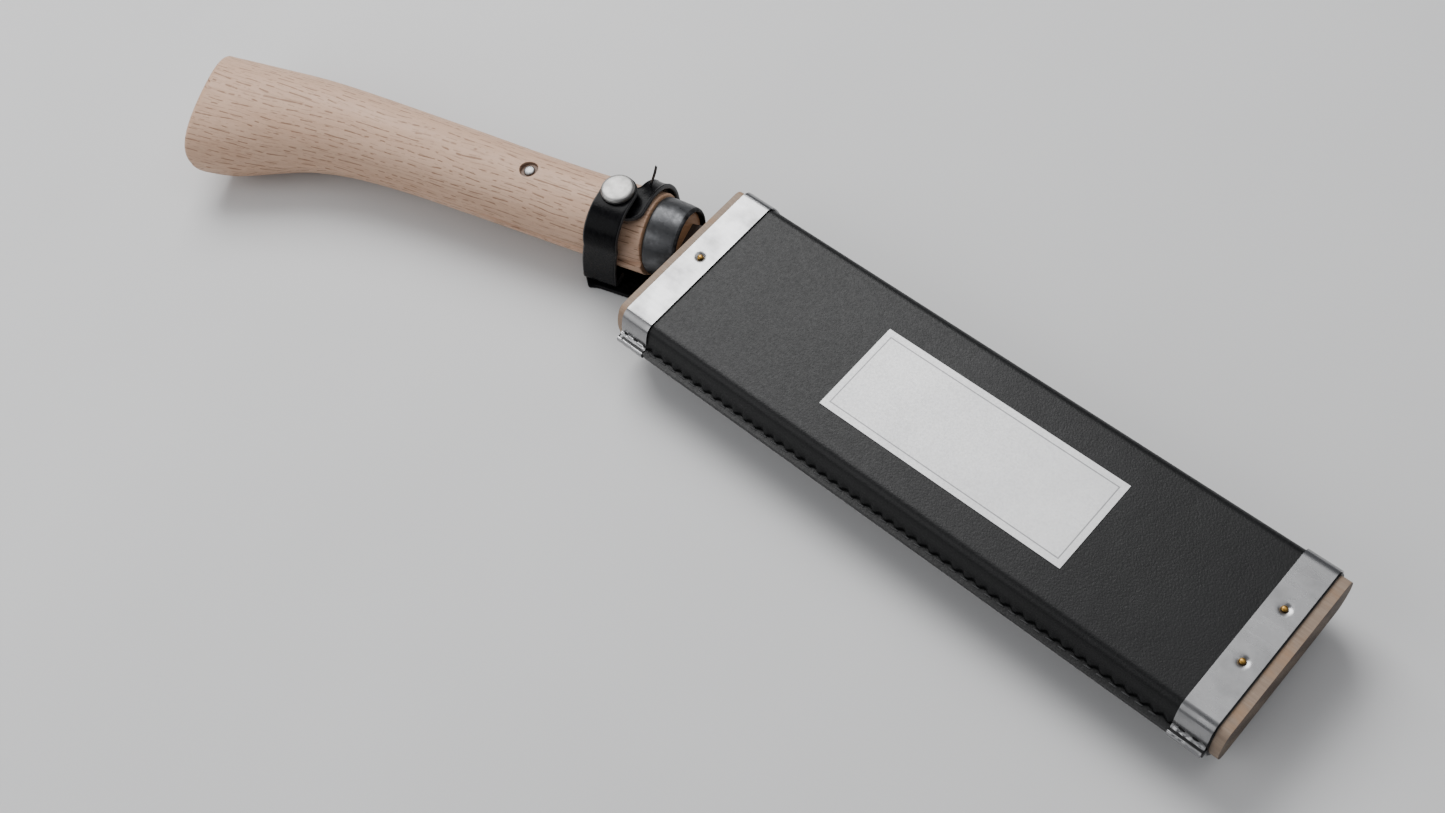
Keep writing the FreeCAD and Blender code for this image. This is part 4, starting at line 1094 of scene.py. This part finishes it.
FLAT_SIDE = 150             # the ring side that is the little ledge under the flat
FLAT_SPAN = 34.0            # how much of the ring the flat takes, in degrees
FLAT_DEPTHS = ((-73.8, 0.25), (-66.0, 0.8), (-40.0, 1.15), (-14.0, 1.35))
FLAT_LEDGE = ((-73.8, 184.0), (-54.0, 195.0), (-34.0, 194.0), (-22.0, 187.0), (-14.0, 178.0))


def between(table, x):
    """Reads a short table of (x, value) pairs, straight between them."""
    for (start, first), (end, second) in zip(table, table[1:]):
        if x <= end:
            share = max(0.0, (x - start) / (end - start))
            return first + (second - first) * share
    return table[-1][1]


def grip_ring(x, y, turn, half, deep, back=0.0, inset=0.0):
    """One oval ring of the grip, moved forward along its axis by back and shrunk by inset."""
    angle = math.radians(turn)
    ahead = Vector((math.cos(angle), math.sin(angle), 0))
    across = Vector((-math.sin(angle), math.cos(angle), 0))
    centre = Vector((x, y, MIDDLE / MM)) + ahead * back
    domed = max(0.0, 1 - (x - BUTT_X) / math.cos(angle) / DOME_FADE)
    fuller = 0.075 * max(0.0, min(1.0, (-x - 135) / 20)) * (1 - 0.9 * domed)
    depth = between(FLAT_DEPTHS, x)
    ledge = math.radians(between(FLAT_LEDGE, x))
    ledge_place = 2 * math.pi * FLAT_SIDE / GRIP_SIDES
    ring = []
    for step in range(GRIP_SIDES):
        way = 2 * math.pi * step / GRIP_SIDES
        way += (ledge - ledge_place) * math.exp(-((way - ledge_place) / 0.7) ** 2)
        corner = max(0.0, -(math.cos(way) + math.sin(way)) / math.sqrt(2)) ** 2
        swell = 1 + fuller * corner
        place = Vector((math.cos(way) * (half - inset), math.sin(way) * (deep - inset))) * swell
        if step <= FLAT_SIDE:
            share = max(0.0, 1 - math.degrees(ledge - way) / FLAT_SPAN)
            place -= place.normalized() * depth * share
        place.y = max(place.y, 0.4 - MIDDLE / MM)
        shift = BUTT_DOME - math.sqrt(BUTT_DOME ** 2 - place.y ** 2)
        shift += BUTT_CROWN * (2 * (place.x / half) ** 2 - 1) + BUTT_CUT * corner ** 2
        shift *= domed
        ring.append((centre + across * place.x + ahead * shift + Vector((0, 0, place.y))) * MM)
    return ring


def cut_wood_and_highlight():
    """Pale wood on the little ledge, partly fresh-cut wood and partly a painted highlight along the ledge,
    with a dark nick where the flat begins.
    """
    m = Nodes("cut_wood_and_highlight")
    broken = m.noise(m.stretched((160, 900, 900)), 1.0, 3.0)
    # Painted highlight: the ledge is coloured much paler than the oak, the light its upward face would
    # catch.
    colour = m.blend(m.ramp(broken, 0.4, 0.6), rgb(0.92, 0.74, 0.60), rgb(0.76, 0.56, 0.42))
    nick = m.ramp(m.axis("X"), (FLAT_START + 1.0) * MM, (FLAT_START + 1.4) * MM, 1.0, 0.0)
    colour = m.blend(nick, colour, rgb(0.09, 0.04, 0.02))
    return m.finish(Base_Color=colour, Roughness=0.6, Normal=m.bump(broken, 0.0001, 0.5))


def make_handle():
    """The oak grip: a tenon for the ferrule, the swept grip, its domed butt and the pin's sinks."""
    stations = [tuple(point) for point in smooth_grip()]
    rings = []
    first = stations[0]
    ferrule = ferrule_frame()
    tenon_back, tenon_front = 10.65, 9.7

    def round_ring(radius, height):
        ring = []
        for step in range(GRIP_SIDES):
            way = 2 * math.pi * step / GRIP_SIDES
            ring.append(ferrule @ Vector((math.cos(way) * radius * MM, math.sin(way) * radius * MM,
                                          height * MM)))
        return ring

    for radius in (2.0, 4.5, 7.0, 9.0):
        rings.append(round_ring(radius, TENON_END))
    rings.append(round_ring(9.35, TENON_END - 0.1))
    rings.append(round_ring(tenon_front, TENON_END - 0.5))
    rings.append(round_ring(tenon_back, 0.0))
    rings.append(grip_ring(*first[:3], first[3] - 0.9, first[4] - 0.9))
    for inset, back in ((0.45, 0.0), (0.2, -0.06), (0.05, -0.2), (0.0, -0.45)):
        rings.append(grip_ring(*first, back=back, inset=inset))
    # Faces along the ledge take the pale wood with its painted highlight.
    lines = []
    for station in stations[1:-1]:
        if station[0] > FLAT_START + 1.4:
            lines.append((len(rings), FLAT_SIDE, 3))
        elif station[0] > FLAT_START - 1.0:
            lines.append((len(rings), FLAT_SIDE - 2, 4))
        rings.append(grip_ring(*station))
    last = stations[-1]
    for step in range(8):
        angle = math.radians(90 * step / 7)
        rings.append(grip_ring(*last, back=BUTT_ROUND * (1 - math.sin(angle)),
                               inset=BUTT_ROUND * (1 - math.cos(angle))))
    for inset in (5.0, 8.0, 11.0, 13.5):
        share = inset / 15.1
        rings.append(grip_ring(*last[:3], last[3] * (1 - share * 0.98), last[4] * (1 - share)))
    bm = bmesh.new()
    tube_of_rings(bm, rings)
    bm.faces.ensure_lookup_table()
    for ring, side, wide in lines:
        for step in range(wide):
            bm.faces[ring * GRIP_SIDES + side + step].material_index = 2
    for face in bm.faces:
        middle = face.calc_center_median()
        inside = ferrule.inverted() @ middle
        if inside.z > (TENON_END - 0.4) * MM:
            face.material_index = 1
    blank = in_scene("handle_blank", to_mesh("handle", bm))
    cutter = pin_cutter()
    cut = blank.modifiers.new("pin_sinks", "BOOLEAN")
    cut.operation = "DIFFERENCE"
    cut.solver = "EXACT"
    cut.object = cutter
    made = evaluated_mesh(blank)
    bpy.data.objects.remove(cutter)
    new_piece("handle_piece", made, "knife", ["handle"],
              [handle_wood(), end_grain(), cut_wood_and_highlight()])
    sharpen(made, 40)


def smooth_grip():
    """The grip's stations, at about every millimetre and a half."""
    points = [list(row) for row in GRIP]
    ends = [[2 * a - b for a, b in zip(points[0], points[1])]] + points
    ends.append([2 * a - b for a, b in zip(points[-1], points[-2])])
    result = []
    for number in range(1, len(ends) - 2):
        rows = ends[number - 1:number + 3]
        steps = max(4, round(abs(rows[2][0] - rows[1][0]) / 1.5))
        for step in range(steps):
            result.append([spline(*column, step / steps) for column in zip(*rows)])
    near_end = points[-1][0] + BUTT_ROUND + 0.4
    return [row for row in result if row[0] > near_end] + [points[-1]]


PIN_SINK = 11.0             # distance of each sink's floor from the middle plane


def at_both_sinks(bm, profile, segments):
    """Turns a profile about the pin's axis at both of its sinks, facing outward."""
    low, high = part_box("handle_rivet")
    for way in (1, -1):
        place = Matrix.Translation(((low.x + high.x) / 2, (low.y + high.y) / 2,
                                    MIDDLE + way * PIN_SINK * MM))
        if way < 0:
            place = place @ Matrix.Rotation(math.pi, 4, "X")
        revolve(bm, profile, place, segments)


def pin_cutter():
    """The two sinks for the pin, each with a slightly eased rim."""
    bm = bmesh.new()
    at_both_sinks(bm, [(0, 0), (2.7, 0), (2.75, 0.5), (3.0, 1.3), (3.6, 2.6), (3.6, 8), (0, 8)], 64)
    return in_scene("pin_cutter", to_mesh("pin_cutter", bm))


def make_pin():
    """The pin through the handle, with a low dome at each end."""
    profile = [(1.5, -PIN_SINK), (1.5, -0.05), (1.7, 0.0), (1.72, 0.35), (1.6, 0.58), (1.3, 0.7),
               (0.8, 0.77), (0, 0.8)]
    bm = bmesh.new()
    at_both_sinks(bm, profile, 48)
    bmesh.ops.remove_doubles(bm, verts=bm.verts, dist=1e-6)
    mesh = to_mesh("handle_pin", bm)
    new_piece("handle_pin_piece", mesh, "knife", ["handle_rivet"], [PIN_STEEL])
    sharpen(mesh, 45)


def make_ferrule():
    """A tapered forged ring with a rolled front lip, its front and inside darkened as painted shadow."""
    profile = [(10.7, 0.0), (11.6, 0.0), (11.84, 0.1), (11.97, 0.4), (11.98, 1.2), (11.9, 3.0),
               (11.74, 5.0), (11.52, 7.0), (11.26, 8.8), (11.12, 9.5), (10.96, 9.95), (10.75, 10.2),
               (10.45, 10.35), (10.1, 10.3), (9.88, 10.05), (9.8, 9.7), (9.8, 8.5), (10.7, 0.0)]
    bm = bmesh.new()
    revolve(bm, profile, ferrule_frame(), 144)
    bmesh.ops.remove_doubles(bm, verts=bm.verts, dist=1e-6)
    centre = ferrule_frame().inverted()
    for vertex in bm.verts:
        local = centre @ vertex.co
        wobble = noise.noise(local * 130) * 0.16 + noise.noise(local * 420) * 0.05
        outward = Vector((local.x, local.y, 0)).normalized()
        vertex.co = ferrule_frame() @ (local - outward * (0.12 + 0.5 * wobble) * MM)
    # Painted shadow: the lip's front and the ring's inner wall take a near-black iron, the shade that falls
    # in the ring between ferrule and tenon.
    for face in bm.faces:
        local = centre @ face.calc_center_median()
        if local.z > 9.7 * MM or math.hypot(local.x, local.y) < 10.2 * MM:
            face.material_index = 1
    mesh = to_mesh("ferrule", bm)
    lip = forged_iron("ferrule_lip", rgb(0.008, 0.008, 0.009), 0.5)
    new_piece("ferrule_piece", mesh, "knife", ["ferrule"],
              [forged_iron("ferrule_iron"), lip])
    sharpen(mesh, 50)


def make_blade():
    dress("blade", blade_iron(), 0.3 * MM, "knife")
    steel = bright_metal("edge_steel", rgb(0.60, 0.61, 0.62), (9000, 300, 300), 0.16)
    dress("edge_steel", steel, 0.04 * MM, "knife", 1)


# ------------------------------------------------------------------ build

BAND_METAL = bright_metal("band_tin", rgb(0.29, 0.29, 0.294), (60, 500, 60), 0.2, 0.000003)
SNAP_METAL = bright_metal("snap_nickel", rgb(0.33, 0.325, 0.315), (500, 500, 500), 0.36)
PIN_STEEL = bright_metal("pin_steel", rgb(0.36, 0.36, 0.36), (700, 700, 700), 0.28)
LEATHER = black_leather()
CUT_EDGE_AND_HIGHLIGHT = cut_edge_and_highlight()

make_sheath_wood()
make_cover()
make_stitches()
make_band("mouth_band", "mouth_band_nail", False)
make_band("tip_band", "tip_band_nails", True)
make_nails()
make_label()
make_belt_loop()
make_rivets()
make_strap_base()
make_near_arm()
make_far_arm()
make_snap()
make_thread_tail()
make_handle()
make_pin()
make_ferrule()
make_blade()


# ------------------------------------------------------------------ floor, light, camera

def make_floor():
    bm = bmesh.new()
    bmesh.ops.create_grid(bm, x_segments=8, y_segments=8, size=6.0)
    mesh = to_mesh("floor", bm)
    floor = in_scene("floor", mesh)
    mesh.materials.append(studio_floor())


def area_light(name, place, target, wide, tall, power):
    lamp = bpy.data.lights.new(name, "AREA")
    lamp.shape = "RECTANGLE"
    lamp.size = wide
    lamp.size_y = tall
    lamp.energy = power
    light = in_scene(name, lamp)
    light.location = place
    light.rotation_euler = (Vector(target) - Vector(place)).to_track_quat("-Z", "Y").to_euler()


def make_lights():
    area_light("back_softbox", (-0.62, 0.42, 0.95), (0.02, 0.0, 0.0), 0.85, 0.7, 17.0)
    area_light("top_fill", (0.35, 0.35, 1.2), (0.05, -0.02, 0.0), 1.0, 1.0, 4.0)
    area_light("near_fill", (-0.3, -0.6, 0.5), (-0.05, -0.02, 0.01), 0.8, 0.6, 3.0)
    world = bpy.data.worlds.new("studio")
    world.use_nodes = True
    world.node_tree.nodes["Background"].inputs["Color"].default_value = (0.9, 0.93, 1.0, 1.0)
    world.node_tree.nodes["Background"].inputs["Strength"].default_value = 0.22
    bpy.context.scene.world = world


CAMERA_PLACE = Vector((0.26624, -0.18191, 0.44681))
CAMERA_TARGET = Vector((0.04144, -0.02953, 0.0155))
CAMERA_ROLL = -15.76        # degrees
LENS = 45.14                # millimetres, on a sensor 36 mm wide


def make_camera():
    data = bpy.data.cameras.new("camera")
    data.lens = LENS
    data.sensor_width = 36.0
    data.clip_start = 0.01
    camera = in_scene("camera", data)
    aim = (CAMERA_TARGET - CAMERA_PLACE).to_track_quat("-Z", "Y").to_matrix().to_4x4()
    roll = Matrix.Rotation(math.radians(CAMERA_ROLL), 4, "Z")
    camera.matrix_world = Matrix.Translation(CAMERA_PLACE) @ aim @ roll
    bpy.context.scene.camera = camera


make_floor()
make_lights()
make_camera()

bpy.context.view_layer.update()
